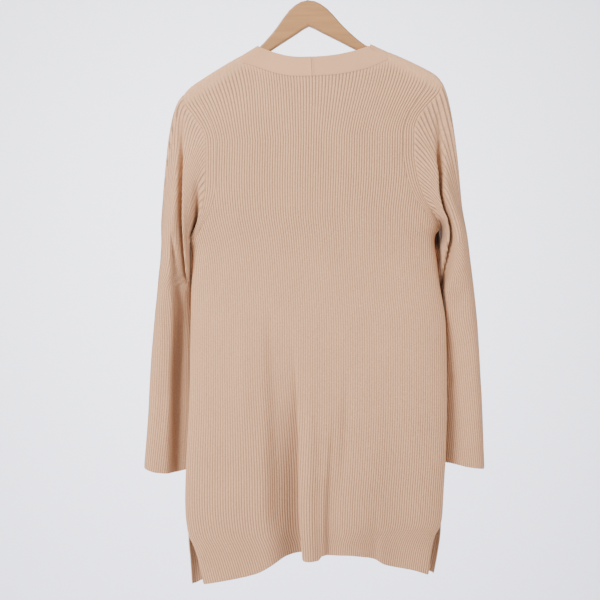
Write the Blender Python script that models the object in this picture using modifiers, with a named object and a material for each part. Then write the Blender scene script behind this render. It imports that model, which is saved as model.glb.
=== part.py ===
"""Long ribbed cardigan on a flat wooden hanger, in metres, +Z up, seen from its back along +Y.

The origin is the inside top of the hanger's hook, where the whole thing is held. Tables are in
millimetres, measured in the garment's own frame: x out from its centre back, z down from the hook.
The hanger leans by TILT, and settle() puts the cloth on it with the sway that this gives.
"""
import bpy
import numpy as np

for old in list(bpy.data.objects):
    bpy.data.objects.remove(old, do_unlink=True)

WALL = 2.0  # the knitted cloth with its ribs
SEAM = 0.3  # between two pieces that are sewn together
TILT = 3.2  # degrees that the hanger leans
ARM_Y = 8.6  # middle of the cloth from the hanger's middle, where it lies on an arm
WRAP = 9.0  # drop from the shoulder ridge to where the cloth leaves the arm
YOKE_Z = -284.0  # the ribs fan out to the shoulders above this row
UNDERARM_Z = -440.0
VENT_Z = -900.0
HEM_Z = -984.0
NECK_X = 114.0  # neck point, where band, back and front meet
TIP_X = 202.0  # shoulder tip
TIP_Z = -219.5
NECK_SHARE = 0.6  # of the half back's ribs end at the neck
OVAL = 2.6  # power of the flat oval that the body hangs in
BICEP_Z = -465.0
DENSE = 480
RIM = 2.5  # width of the narrow faces beside a side seam

HEM_ROWS = (-984, -962, -936, -912, -900, -850, -790, -725, -660, -600, -545, -495, -465, -452)
ARM_ROWS = (-440, -438.2, -435.5, -431, -424, -411, -388, -355, -320, -284)
YOKE_ROWS = (0.2, 0.4, 0.6, 0.8, 1.0)
BACK_SHARES = (0.0, 0.15, 0.3, 0.45, 0.6, 0.7, 0.8, 0.9, 0.96, 1.0)
FRONT_SHARES = (0.0, 0.17, 0.34, 0.52, 0.7, 0.84, 0.94, 1.0)
WRAP_ANGLES = (30, 60, 90, 120, 150, 180)
CAP_ROWS = (0.025, 0.08, 0.17, 0.28, 0.42, 0.58, 0.76, 1.0)
SLEEVE_ROWS = (-490, -520, -560, -610, -670, -735, -800)
BAND_ACROSS = 2


def rows(names, *data):
    """A table with named columns, one row for each section."""
    return {name: np.array([row[i] for row in data], float) for i, name in enumerate(names.split())}


RIDGE = rows("x z", (0, -91), (60, -125), (87, -141), (107, -151.5), (130, -162.5),
             (153, -174.5), (176, -187.5), (191, -197), (198, -203.5), (204, -211), (216, -232))
NECK = rows("x z", (0, -192.5), (30, -191.5), (58, -187), (86, -178.5), (104, -171.5), (114, -168))
ARMHOLE = rows("z left right",
               (-219.5, 202, 202), (-229, 197, 197.5), (-240, 188.5, 187), (-251, 181, 177),
               (-265, 172, 166), (-284, 165, 160), (-320, 163.5, 160), (-355, 163, 165),
               (-388, 167, 175), (-411, 174, 187), (-424, 181.5, 194.3), (-431, 186, 197),
               (-435.5, 189.7, 199.2), (-438.2, 192.2, 200.3), (-440, 194, 201))
BACK = rows("z left right side deep",
            (-150, 236, 236, 0, 14), (-190, 232, 232, 0, 18), (-240, 226, 226, 0, 24),
            (-284, 220, 220, 0, 29), (-340, 213, 213, 0, 33), (-400, 205, 209, 0, 35),
            (-440, 194, 201, 0, 35), (-464, 188.5, 190, -1, 34.5), (-484, 190, 191, -2, 34),
            (-530, 195, 194, -5, 33), (-590, 197.5, 200.5, -9, 31), (-660, 198.5, 202, -11, 30),
            (-800, 202, 202.5, -12, 29), (-860, 201, 201, -12, 28), (-900, 197, 197.5, -12.5, 26),
            (-920, 188, 186, -15, 22), (-940, 182, 180.5, -17, 18), (-984, 173.5, 174, -20, 12))
FRONT = rows("z left right side deep",
             (-150, 236, 236, 0, 10), (-190, 232, 232, 0, 13), (-240, 226, 226, 0, 17),
             (-284, 220, 220, 0, 20), (-340, 213, 213, 0, 23), (-400, 205, 209, 0, 25),
             (-440, 194, 201, 0, 26), (-464, 188.5, 190, -1, 27), (-484, 190, 191, -2, 28),
             (-530, 195, 194, -5, 31), (-590, 197.5, 200.5, -9, 34), (-660, 198.5, 202, -11, 37),
             (-800, 202, 202.5, -12, 40), (-860, 201, 201, -12, 40), (-900, 197, 197.5, -12.5, 38),
             (-920, 197, 196.5, -9, 33), (-940, 196, 194, -4, 28), (-984, 195, 186, 2, 18))
BACK_HEM = rows("x z", (-174, -979), (-156, -976), (-115, -969), (-90, -963), (-73, -955),
                (-59, -947), (-47, -941), (-28, -937), (-21, -945.5), (-11, -946.5), (7, -945),
                (12, -940), (44, -940.5), (80, -946), (94, -950.5), (107, -958.5), (152, -969.5),
                (174, -978))
FRONT_HEM = rows("x z", (10, -934), (50, -936), (90, -943), (120, -955), (150, -968), (190, -984))
FRONT_EDGE = rows("z band open",
                  (-160, 114, 85), (-175, 113, 81), (-200, 104, 66), (-250, 85.5, 47),
                  (-300, 68, 31), (-350, 54, 17), (-400, 43.5, 7), (-425, 41.5, 5.5),
                  (-700, 46, 10), (-984, 51, 15))
BAND_TOP = rows("x inner z", (0, 0, -161.5), (30, 18, -161), (58, 36, -159), (86, 60, -153.5),
                (104, 76, -148.5), (114, 85, -145))
# a fold runs from (x_top, z_top) to (x_low, z_low) and is full from z_full to z_end; deep is
# away from the viewer on the back and towards the body on the front
FOLDS = rows("side x_top z_top x_low z_low z_full z_end in_w out_w deep",
             (-1, -50, -590, -33, -984, -900, -1100, 22, 5, 25),
             (-1, -76, -510, -62, -900, -680, -860, 12, 10, 5),
             (-1, -14, -620, -7, -984, -850, -1100, 12, 12, -6),
             (-1, 22, -690, 15, -984, -900, -1100, 4, 12, 6),
             (-1, 46, -640, 40, -860, -740, -800, 9, 9, 3),
             (-1, 96, -850, 90, -984, -950, -1100, 22, 6, 5),
             (-1, -116, -540, -112, -800, -640, -700, 16, 16, -3),
             (-1, 118, -700, 112, -984, -860, -1100, 26, 30, 4),
             (1, -120, -540, -108, -984, -880, -1100, 14, 20, -9),
             (1, -78, -700, -80, -984, -930, -1100, 12, 10, -6),
             (1, 92, -600, 84, -984, -900, -1100, 18, 12, -10),
             (1, 142, -660, 136, -984, -940, -1100, 12, 16, -5))
SLEEVE_LEFT = rows("z inner tail outer y_in y_out half crease c_deep c_in c_out push back_x back_deep",
                   (-240, 200, 0, 236, 0, 0, 0, 208, 0, 10, 10, 0, 222, 0),
                   (-330, 200, 0, 236, 0, 0, 0, 205, 9, 9, 10, 0, 222, 3),
                   (-400, 196, 0, 236, 0, 0, 0, 207, 14, 8.5, 9.5, 0, 222, 6),
                   (-465, 194.5, 8, 239.5, 3, 3, 37, 211, 15, 8.5, 9, 0, 221, 8),
                   (-490, 195.5, 9, 244, 6, 3, 36, 214, 15, 8.5, 9, 1, 223, 8),
                   (-515, 196, 8, 248, 11, 4, 34, 216, 14, 8.5, 9, 4, 224, 7),
                   (-560, 193, 3, 255, 23, 5, 31, 219, 12, 8.5, 10, 7, 225, 6),
                   (-625, 188, 0, 261.5, 30, 6, 28, 222, 10, 8.5, 11, 8, 225, 5),
                   (-700, 187, 0, 265.5, 32, 7, 25.5, 223, 8, 8.5, 11, 7, 225, 4),
                   (-800, 190, 0, 270.5, 30, 8, 23, 223, 7, 8.5, 10, 6, 226, 3))
SLEEVE_RIGHT = rows("z inner tail outer y_in y_out half crease c_deep c_in c_out push back_x back_deep",
                    (-240, 204, 0, 236, 0, 0, 0, 205, 0, 9, 9, 0, 226, 0),
                    (-330, 204, 0, 236, 0, 0, 0, 205, 9, 9, 9, 0, 226, 3),
                    (-400, 204, 0, 236, 0, 0, 0, 212, 14, 8, 8, 0, 226, 5),
                    (-465, 202.5, 14, 243, 2, 3, 37, 219, 14, 7, 7.5, 0, 226, 7),
                    (-490, 201.5, 14, 244.5, 4, 3, 36, 214, 13, 7, 7.5, 2, 226, 7),
                    (-515, 198, 10, 246.5, 9, 4, 34, 206, 9, 7, 8, 4, 226, 7),
                    (-560, 190, 2, 250, 24, 5, 31, 199, 5, 7, 9, 3, 228, 6),
                    (-625, 187, 0, 255, 30, 6, 28, 197, 2, 7, 9, 1, 230, 5),
                    (-700, 186, 0, 260, 32, 7, 25.5, 196, 0, 7, 9, 0, 232, 4),
                    (-800, 190, 0, 267.5, 30, 8, 23, 196, 0, 7, 9, 0, 234, 3))
CUFF_LEFT = rows("x z", (186, -803), (206, -804), (222, -807), (250, -804), (271, -797))
CUFF_RIGHT = rows("x z", (186, -808), (211, -810), (241, -817), (269, -822))
SWAY = rows("z x", (-60, 3.4), (-140, 8), (-212, 11.5), (-284, 10), (-400, 8), (-450, 12),
            (-600, 19), (-700, 19), (-800, 16.5), (-860, 14.5), (-985, 17))
LEAN = rows("z deg", (-60, 3.2), (-220, 3.2), (-450, 3.0), (-985, 2.3))
WOOD = rows("x top low", (0, -70, -111.5), (10, -71.5, -116.5), (20, -76.5, -122.5),
            (30, -84.5, -128.3), (40, -96, -134), (50, -109, -139.7), (62, -122.5, -146.8),
            (74, -134.5, -154), (86, -144.7, -161.5), (107, -156.9, -174), (130, -168.9, -186),
            (153, -181.1, -198), (176, -194.2, -209.5), (189, -203, -214.5), (196, -208.5, -214))
WOOD_Y = 11.0
BORE = 4.6
WIRE = 4.0
HOOK_R = 24.0


def at(table, name, where):
    """Smooth value of a column at some places along the table's first column."""
    key = next(iter(table))
    order = np.argsort(table[key])
    x, y = table[key][order], table[name][order]
    gap = np.diff(x)
    rise = np.diff(y) / gap
    slope = np.concatenate([rise[:1], np.zeros(len(x) - 2), rise[-1:]])
    both = rise[1:] * rise[:-1]
    slope[1:-1] = np.where(both > 0, 2 * both / np.where(both > 0, rise[1:] + rise[:-1], 1), 0)
    w = np.clip(where, x[0], x[-1])
    i = np.clip(np.searchsorted(x, w) - 1, 0, len(gap) - 1)
    s = (w - x[i]) / gap[i]
    near = y[i] * (1 + 2 * s) * (1 - s) ** 2 + slope[i] * gap[i] * s * (1 - s) ** 2
    return near + y[i + 1] * s * s * (3 - 2 * s) + slope[i + 1] * gap[i] * s * s * (s - 1)


def ease(a):
    """0 below 0, 1 above 1, smooth between."""
    a = np.clip(a, 0, 1)
    return a * a * (3 - 2 * a)


def by_side(table, x, z):
    """A table's left or right column, for each place's own side."""
    return np.where(x < 0, at(table, "left", z), at(table, "right", z))


def fold_y(x, z, face):
    """How far the folds of one face push the cloth along y."""
    push = np.zeros(np.broadcast(x, z).shape)
    for i in np.flatnonzero(FOLDS["side"] == face):
        f = {name: column[i] for name, column in FOLDS.items()}
        centre = f["x_top"] + (f["x_low"] - f["x_top"]) * (z - f["z_top"]) / (f["z_low"] - f["z_top"])
        grown = ease((z - f["z_top"]) / (f["z_full"] - f["z_top"]))
        gone = 1 - ease((z - f["z_end"]) / -60.0)
        wide = np.where(x < centre, f["in_w"], f["out_w"]) * (0.6 + 0.4 * grown)
        push = push + f["deep"] * grown * gone * np.exp(-(((x - centre) / wide) ** 2))
    return push


def cloth_y(x, z, face):
    """Middle of the body's cloth: the back with face -1, a front with face 1."""
    table = BACK if face < 0 else FRONT
    across = np.minimum(np.abs(x) / by_side(table, x, z), 1)
    oval = (1 - across ** OVAL) ** (1 / OVAL)
    hung = at(table, "side", z) + face * at(table, "deep", z) * oval
    near = np.exp(-np.maximum(at(RIDGE, "z", np.abs(x)) - z - WRAP, 0) / 45)
    return face * ARM_Y * near + hung * (1 - near) + fold_y(x, z, face)


def body_edge(side, z):
    """Half width of the body on one side: its side seam, and above the underarm its armhole."""
    name = "left" if side < 0 else "right"
    return np.where(z < UNDERARM_Z, at(BACK, name, z), at(ARMHOLE, name, z))


def front_half(side, z):
    name = "left" if side < 0 else "right"
    return np.where(z < UNDERARM_Z, at(FRONT, name, z), at(ARMHOLE, name, z))


def spaced(curve, shares, bend):
    """Places along a curve, as indices, shared out by its length and by bend mm a radian of turn."""
    way = np.diff(curve, axis=0)
    step = np.linalg.norm(way, axis=1)
    unit = way / np.maximum(step, 1e-9)[:, None]
    turn = np.arccos(np.clip((unit[1:] * unit[:-1]).sum(1), -1, 1))
    turn = np.convolve(np.concatenate([[0], turn]), np.full(9, 1 / 9), "same")
    cost = np.concatenate([[0], np.cumsum(step + bend * turn)])
    return np.interp(np.asarray(shares) * cost[-1], cost, np.arange(len(curve)))


def hugging(curve, index, first, last):
    """The indices with the second or last but one moved to RIM from its end, where a seam turns."""
    length = np.concatenate([[0], np.cumsum(np.linalg.norm(np.diff(curve, axis=0), axis=1))])
    whole = np.arange(len(curve))
    index = index.copy()
    if first:
        index[1] = np.interp(RIM, length, whole)
    if last:
        index[-2] = np.interp(length[-1] - RIM, length, whole)
    return index


def pick(curve, index):
    """Points of a curve at fractional indices."""
    whole = np.arange(len(curve))
    return np.stack([np.interp(index, whole, curve[:, k]) for k in range(3)], axis=1)


def seam_z(x):
    """Height of the straight shoulder seam, which lies on the back."""
    low = at(NECK, "z", NECK_X)
    return low + (TIP_Z - low) * (x - NECK_X) / (TIP_X - NECK_X)


def back_row(z_nominal, shares, bend):
    """One row across the back, from its left edge to its right, below the yoke."""
    turn = np.linspace(-1, 1, DENSE + 1)
    reach = np.sin(turn * np.pi / 2)
    x = reach * 190.0
    for _ in range(3):
        hem = at(BACK_HEM, "z", x)
        z = z_nominal + (hem - HEM_Z) * ease((z_nominal - VENT_Z) / (HEM_Z - VENT_Z))
        x = reach * np.where(reach < 0, body_edge(-1, z), body_edge(1, z))
    curve = np.stack([x, cloth_y(x, z, -1), z], axis=1)
    fixed = (np.arcsin(shares) * 2 / np.pi + 1) / 2 * DENSE
    free = spaced(curve, np.linspace(0, 1, len(shares)), bend)
    mix = ease((YOKE_Z - z_nominal) / 120.0)
    index = fixed * (1 - mix) + free * mix
    return pick(curve, hugging(curve, index, mix == 1, mix == 1))


def back_yoke_row(t, shares):
    """One row of the back between the yoke row and its top edge."""
    share = np.abs(shares)
    side = np.sign(shares)
    low_x = share * by_side(ARMHOLE, shares, YOKE_Z)
    top_x = np.where(share <= NECK_SHARE, share * NECK_X / NECK_SHARE,
                     NECK_X + (share - NECK_SHARE) / (1 - NECK_SHARE) * (TIP_X - NECK_X))
    top_z = np.where(share <= NECK_SHARE, at(NECK, "z", top_x), seam_z(top_x))
    edge_z = YOKE_Z + (TIP_Z - YOKE_Z) * t
    edge_0 = by_side(ARMHOLE, shares, YOKE_Z)
    swell = by_side(ARMHOLE, shares, edge_z) - (edge_0 + (TIP_X - edge_0) * t)
    x = side * (low_x + (top_x - low_x) * t + swell * share ** 5)
    z = YOKE_Z + (top_z - YOKE_Z) * t
    return np.stack([x, cloth_y(x, z, -1), z], axis=1)


def front_row(side, z_nominal, shares, bend):
    """One row across a front, from its band to its side, below the yoke."""
    reach = np.sin(np.linspace(0, 1, DENSE + 1) * np.pi / 2)
    z = np.full(DENSE + 1, float(z_nominal))
    low = ease((z_nominal - VENT_Z) / (HEM_Z - VENT_Z))
    for _ in range(3):
        inner = at(FRONT_EDGE, "band", z)
        x = side * (inner + reach * (front_half(side, z) - inner))
        z = z_nominal + (at(FRONT_HEM, "z", np.abs(x)) - HEM_Z) * low
    curve = np.stack([x, cloth_y(x, z, 1), z], axis=1)
    fixed = np.arcsin(shares) * 2 / np.pi * DENSE
    free = spaced(curve, np.linspace(0, 1, len(shares)), bend)
    mix = ease((YOKE_Z - z_nominal) / 120.0)
    index = fixed * (1 - mix) + free * mix
    return pick(curve, hugging(curve, index, False, mix == 1))


def front_yoke_row(side, t, shares):
    """One row of a front between the yoke row and the arm of the hanger."""
    name = "left" if side < 0 else "right"
    edge_0 = at(ARMHOLE, name, YOKE_Z)
    band_0 = at(FRONT_EDGE, "band", YOKE_Z)
    low_x = band_0 + shares * (edge_0 - band_0)
    top_x = NECK_X + shares * (TIP_X - NECK_X)
    top_z = at(RIDGE, "z", top_x) - WRAP
    z = YOKE_Z + (top_z - YOKE_Z) * t
    arm = at(ARMHOLE, name, z) - (edge_0 + (TIP_X - edge_0) * t)
    band = at(FRONT_EDGE, "band", z) - (band_0 + (NECK_X - band_0) * t)
    x = side * (low_x + (top_x - low_x) * t + arm * shares ** 5 + band * (1 - shares) ** 4)
    return np.stack([x, cloth_y(x, z, 1), z], axis=1)


def wrap_row(side, angle, shares):
    """One row of a front over the hanger's arm, and at 180 degrees down to the shoulder seam."""
    x = NECK_X + shares * (TIP_X - NECK_X)
    turn = np.radians(angle)
    y = ARM_Y * np.cos(turn) * np.ones_like(x)
    z = at(RIDGE, "z", x) - WRAP + WRAP * np.sin(turn)
    if angle == 180:
        z = seam_z(x)
        y = cloth_y(x, z, -1)
    return np.stack([side * x, y, z], axis=1)


def back_grid():
    shares = np.array([-s for s in BACK_SHARES[:0:-1]] + list(BACK_SHARES))
    low = [back_row(z, shares, 14.0) for z in HEM_ROWS + ARM_ROWS]
    return np.array(low + [back_yoke_row(t, shares) for t in YOKE_ROWS])


def front_grid(side):
    shares = np.array(FRONT_SHARES)
    low = [front_row(side, z, shares, 10.0) for z in HEM_ROWS + ARM_ROWS]
    mid = [front_yoke_row(side, t, shares) for t in YOKE_ROWS]
    return np.array(low + mid + [wrap_row(side, angle, shares) for angle in WRAP_ANGLES])


def outward(edge, inside, corner=None):
    """Unit directions in the cloth, square to its edge, away from the next line inside."""
    run = np.gradient(edge, axis=0)
    if corner is not None:
        run[corner] = edge[corner] - edge[corner - 1]
    run /= np.linalg.norm(run, axis=1)[:, None]
    out = edge - inside
    out -= (out * run).sum(1)[:, None] * run
    return out / np.linalg.norm(out, axis=1)[:, None]


def armhole_edge(back, front, side):
    """The armhole from the underarm up the back, over the arm and down the front, and its directions."""
    first = len(HEM_ROWS)
    column = -1 if side > 0 else 0
    inside = -2 if side > 0 else 1
    up, up_in = back[first:, column], back[first:, inside]
    down, down_in = front[first:-1, -1][::-1], front[first:-1, -2][::-1]
    edge = np.concatenate([up, down])
    return edge, outward(edge, np.concatenate([up_in, down_in]))


def sleeve_table(side):
    return SLEEVE_LEFT if side < 0 else SLEEVE_RIGHT


def sleeve_ring(side, z):
    """A level ring of the sleeve with no creases: from the inner point, viewer's side first."""
    table = sleeve_table(side)
    turn = np.linspace(0, 2 * np.pi, DENSE + 1)
    reach = -np.sign(np.cos(turn)) * np.abs(np.cos(turn)) ** (2 / 2.4)
    depth = np.sign(np.sin(turn)) * np.abs(np.sin(turn)) ** (2 / 2.4)
    inner, outer = at(table, "inner", z), at(table, "outer", z)
    x = (inner + outer) / 2 + reach * (outer - inner) / 2
    middle = at(table, "y_in", z) + (reach + 1) / 2 * (at(table, "y_out", z) - at(table, "y_in", z))
    y = middle - depth * at(table, "half", z)
    return np.stack([x, y, np.full(DENSE + 1, float(z))], axis=1)


def creased(side, curve, share, grow):
    """The ring with its creases, one on each side, and its tail tucked behind the body."""
    table = sleeve_table(side)
    x, y, z = curve[:, 0], curve[:, 1], curve[:, 2]
    seen = ease(2.2 * np.sin(2 * np.pi * share))
    far = ease(-2.2 * np.sin(2 * np.pi * share))
    centre = at(table, "crease", z)
    wide = np.where(x < centre, at(table, "c_in", z), at(table, "c_out", z))
    fold = at(table, "c_deep", z) * np.exp(-(((x - centre) / wide) ** 2))
    fold = fold + at(table, "push", z) * ease((centre + 4 - x) / 10)
    back = at(table, "back_deep", z) * np.exp(-(((x - at(table, "back_x", z)) / 11) ** 2))
    inner, outer = at(table, "inner", z), at(table, "outer", z)
    hug = np.clip((outer - x) / (outer - inner), 0, 1) ** 3 * ease((UNDERARM_Z - z) / 14)
    behind = at(table, "tail", z) * hug * ease((y - at(table, "y_in", z) - 3) / 14)
    return np.stack([x - behind * grow, y + (fold * seen - back * far) * grow, z], axis=1)


def even(curve):
    return pick(curve, spaced(curve, np.linspace(0, 1, DENSE + 1), 0.0))


def sleeve_grid(side, edge, out):
    """Rings from the armhole to the cuff; the first has the armhole's own points."""
    mirror = np.array([side, 1, 1])
    edge, out = edge * mirror, out * mirror
    length = np.concatenate([[0], np.cumsum(np.linalg.norm(np.diff(edge, axis=0), axis=1))])
    own = length / length[-1]
    near = np.exp(-((np.minimum(length, length[-1] - length) / 30) ** 2))[:, None]
    gap = np.interp(own, [0, 0.4, 0.46, 0.54, 0.6, 1], [SEAM / 2, SEAM / 2, 1.0, 1.0, SEAM / 2, SEAM / 2])
    start = edge + out * gap[:, None] * (1 - near) + near * np.array([WALL + 0.6, 0, 0.6])
    lead = out * (1 - near) + near * np.array([1.0, 0, -0.5])
    marks = [0, 0.1, 0.3, 0.44, 0.56, 0.7, 0.9, 1]
    steep = np.interp(own, marks, [0, 0.5, 1.2, 1.9, 1.9, 1.2, 0.5, 0])
    strong = np.interp(own, marks, [0.7, 1.0, 0.72, 0.52, 0.52, 0.72, 1.0, 0.7])
    lead = lead + steep[:, None] * np.array([0, 0, -1.0])
    folds_in = np.where(own < 0.5, lead[:, 1] > 0, lead[:, 1] < 0)
    lead[:, 1] *= np.where(folds_in, 0.3, 1.0)
    lead *= (strong / np.linalg.norm(lead, axis=1))[:, None]
    share = np.linspace(0, 1, DENSE + 1)
    smooth_start = np.stack([np.interp(share, own, start[:, k]) for k in range(3)], axis=1)
    smooth_lead = np.stack([np.interp(share, own, lead[:, k]) for k in range(3)], axis=1)
    bicep = even(sleeve_ring(side, BICEP_Z))
    fall = (even(sleeve_ring(side, BICEP_Z - 10)) - bicep) / 10
    reach = np.linalg.norm(bicep - smooth_start, axis=1)[:, None]
    first = creased(side, bicep, share, 1.0)
    home = spaced(first, np.linspace(0, 1, len(own)), 12.0)
    rings = []
    for v in CAP_ROWS:
        a, b = 2 * v ** 3 - 3 * v ** 2 + 1, v ** 3 - 2 * v ** 2 + v
        curve = a * smooth_start + b * smooth_lead * reach + (1 - a) * bicep
        curve = curve + (v ** 3 - v ** 2) * fall * reach
        curve = creased(side, curve, share, ease(v / 0.5))
        mix = ease(v / 0.9)
        rings.append(pick(curve, own * DENSE * (1 - mix) + home * mix))
    cuff = CUFF_LEFT if side < 0 else CUFF_RIGHT
    for z in SLEEVE_ROWS:
        curve = creased(side, even(sleeve_ring(side, z)), share, 1.0)
        curve[:, 2] += (at(cuff, "z", curve[:, 0]) + 800) * ease((BICEP_Z - 100 - z) / 235)
        rings.append(pick(curve, spaced(curve, np.linspace(0, 1, len(own)), 12.0)))
    return np.array([start] + rings)[:, :-1] * mirror


def band_grid(side, back, front):
    """The neckband and front band of one side, from the centre back to the hem."""
    mirror = np.array([side, 1, 1])
    middle = back.shape[1] // 2
    count = BACK_SHARES.index(NECK_SHARE) + 1
    step = 1 if side > 0 else -1
    neck = back[-1, middle::step][:count]
    neck_in = back[-2, middle::step][:count]
    edge = np.concatenate([neck, front[-2::-1, 0]])
    inside = np.concatenate([neck_in, front[-2::-1, 1]])
    outer = (edge + outward(edge, inside) * SEAM / 2) * mirror
    edge = edge * mirror
    outer[0, 0] = SEAM / 2
    inner = []
    for k, (x, y, z) in enumerate(edge):
        if k < count:
            top = at(BAND_TOP, "z", x)
            in_x = max(at(BAND_TOP, "inner", x), SEAM / 2)
            inner.append((in_x, cloth_y(in_x, top, -1), top))
        elif k < count + len(WRAP_ANGLES):
            turn = np.radians((WRAP_ANGLES[::-1] + (0,))[k - count + 1])
            in_x = 88.0
            lift = at(RIDGE, "z", in_x) + 0.5 - WRAP + WRAP * np.sin(turn)
            inner.append((in_x - 3 * (1 - np.sin(turn)), ARM_Y * np.cos(turn), lift))
        else:
            low = z + 16 * ease((z + 420) / 230)
            in_x = at(FRONT_EDGE, "open", low)
            inner.append((in_x, cloth_y(in_x, low, 1), low))
    inner = np.array(inner)
    across = np.linspace(0, 1, BAND_ACROSS + 1)[None, :, None]
    grid = outer[:, None] * (1 - across) + inner[:, None] * across
    for k in range(1, BAND_ACROSS):
        x, z = grid[:, k, 0], grid[:, k, 2]
        on_back = cloth_y(x, z, -1)
        on_front = cloth_y(x, z, 1)
        grid[:count, k, 1] = on_back[:count]
        grid[count + len(WRAP_ANGLES):, k, 1] = on_front[count + len(WRAP_ANGLES):]
    return grid * mirror


def drawn_in(grid, left, right, low, high):
    """The grid with some of its edges drawn in by half a seam."""
    grid = grid.copy()
    source = grid.copy()
    for on, edge, inside, corner in ((left, np.s_[:, 0], np.s_[:, 1], len(HEM_ROWS)),
                                     (right, np.s_[:, -1], np.s_[:, -2], len(HEM_ROWS)),
                                     (low, np.s_[0], np.s_[1], None),
                                     (high, np.s_[-1], np.s_[-2], None)):
        if on:
            grid[edge] -= outward(source[edge], source[inside], corner) * SEAM / 2
    return grid


def settle(points):
    """Cloth in its own frame put on the leaning hanger: slid along the arms, swayed and dropped."""
    x, y, z = points[..., 0], points[..., 1], points[..., 2]
    slip = 7.0 * np.exp(-(((np.abs(x) - 100) / 55) ** 2)) * ease((z + 290) / 120)
    x = x + slip
    z = z - 0.56 * np.sign(x) * slip
    drop = x * np.tan(np.radians(at(LEAN, "deg", z)))
    return np.stack([x + at(SWAY, "x", z), y, z + drop], axis=-1)


def leaned(points):
    """A stiff piece turned about the hook with the hanger."""
    x, y, z = points[..., 0], points[..., 1], points[..., 2]
    c, s = np.cos(np.radians(TILT)), np.sin(np.radians(TILT))
    return np.stack([x * c - z * s, y, x * s + z * c], axis=-1)


def material(name, colour, rough, metal=0.0):
    made = bpy.data.materials.new(name)
    made.use_nodes = True
    shader = made.node_tree.nodes["Principled BSDF"]
    shader.inputs["Base Color"].default_value = (*colour, 1)
    shader.inputs["Roughness"].default_value = rough
    shader.inputs["Metallic"].default_value = metal
    return made


cardigan = bpy.data.collections.new("cardigan")
cutters = bpy.data.collections.new("cutters")
bpy.context.scene.collection.children.link(cardigan)
bpy.context.scene.collection.children.link(cutters)
knit = material("beige_rib_knit", (0.62, 0.47, 0.36), 0.95)
plain_knit = material("beige_plain_knit", (0.66, 0.51, 0.40), 0.95)
beech = material("pale_beech", (0.56, 0.38, 0.25), 0.55)
steel = material("bright_steel", (0.72, 0.72, 0.72), 0.25, 1.0)


def solid(name, points, faces, look, where=cardigan):
    mesh = bpy.data.meshes.new(name)
    mesh.from_pydata([tuple(p) for p in points * 0.001], [], faces)
    mesh.update()
    for face in mesh.polygons:
        face.use_smooth = True
    made = bpy.data.objects.new(name, mesh)
    where.objects.link(made)
    made.data.materials.append(look)
    return made


def quads(high, wide, closed):
    """Faces of a grid of points, row by row, joined round when it is closed."""
    last = wide if closed else wide - 1
    faces = []
    for r in range(high - 1):
        for c in range(last):
            d = (c + 1) % wide
            faces.append((r * wide + c, r * wide + d, (r + 1) * wide + d, (r + 1) * wide + c))
    return faces


def cloth(name, grid, look, closed=False, flip=False):
    """A knitted piece: its middle surface, given its wall by Solidify."""
    high, wide = grid.shape[:2]
    faces = quads(high, wide, closed)
    if flip:
        faces = [f[::-1] for f in faces]
    made = solid(name, settle(grid).reshape(-1, 3), faces, look)
    wall = made.modifiers.new("wall", "SOLIDIFY")
    wall.thickness = WALL * 0.001
    wall.offset = 0.0
    wall.use_rim = True
    return made


back_cut = back_grid()
fronts = {side: front_grid(side) for side in (-1, 1)}
cloth("back", drawn_in(back_cut, True, True, False, True), knit)
for side, name in ((-1, "left"), (1, "right")):
    front_cut = fronts[side]
    cloth("front_" + name, drawn_in(front_cut, True, True, False, True), knit, flip=side > 0)
    armhole, directions = armhole_edge(back_cut, front_cut, side)
    cloth("sleeve_" + name, sleeve_grid(side, armhole, directions), knit, closed=True, flip=side < 0)
    cloth("band_" + name, band_grid(side, back_cut, front_cut), plain_knit, flip=side < 0)


def yoke_section(x):
    """Rounded section of the wooden yoke at one place along its arms."""
    top, low = at(WOOD, "top", abs(x)), at(WOOD, "low", abs(x))
    half, soft = WOOD_Y / 2, min(4.0, (top - low) / 2 - 0.3)
    points = []
    for y, z, start in ((half, top, 0), (-half, top, 90), (-half, low, 180), (half, low, 270)):
        for k in range(4):
            turn = np.radians(start + 30 * k)
            centre_y = y - soft * np.sign(y)
            centre_z = z - soft if z == top else z + soft
            points.append((x, centre_y + soft * np.cos(turn), centre_z + soft * np.sin(turn)))
    return points


stations = [-x for x in WOOD["x"][:0:-1]] + list(WOOD["x"])
loop = np.array([yoke_section(x) for x in stations])
caps = [tuple(range(15, -1, -1)), tuple(range(16 * (len(stations) - 1), 16 * len(stations)))]
yoke = solid("hanger_yoke", leaned(loop.reshape(-1, 3)), quads(len(stations), 16, True) + caps, beech)

bpy.ops.mesh.primitive_cylinder_add(vertices=24, radius=BORE * 0.0005, depth=0.028)
bore = bpy.context.object
bore.name = "bore"
bore.location = tuple(leaned(np.array([0, 0, -70.0])) * 0.001)
bore.rotation_euler = (0, -np.radians(TILT), 0)
for held in list(bore.users_collection):
    held.objects.unlink(bore)
cutters.objects.link(bore)
bore.hide_render = True
bore.display_type = "WIRE"
cut = yoke.modifiers.new("bore", "BOOLEAN")
cut.operation = "DIFFERENCE"
cut.solver = "EXACT"
cut.object = bore


def hook_line():
    """Middle line of the hook's wire: up from the bore, then round over the rod to its tip."""
    radius = HOOK_R + WIRE / 2
    points = [(0, 0, z) for z in (-83.0, -72.0, -66.0, -60.0, -55.0)]
    points += [(3.0, 0, -51.0), (9.5, 0, -49.2)]
    for turn in range(-60, 181, 15):
        a = np.radians(turn)
        points.append((radius * np.cos(a), 0, -HOOK_R + radius * np.sin(a)))
    points += [(-radius, 0, -HOOK_R - 8.0), (-radius - 1.5, 0, -HOOK_R - 14.0)]
    return np.array(points)


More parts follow.
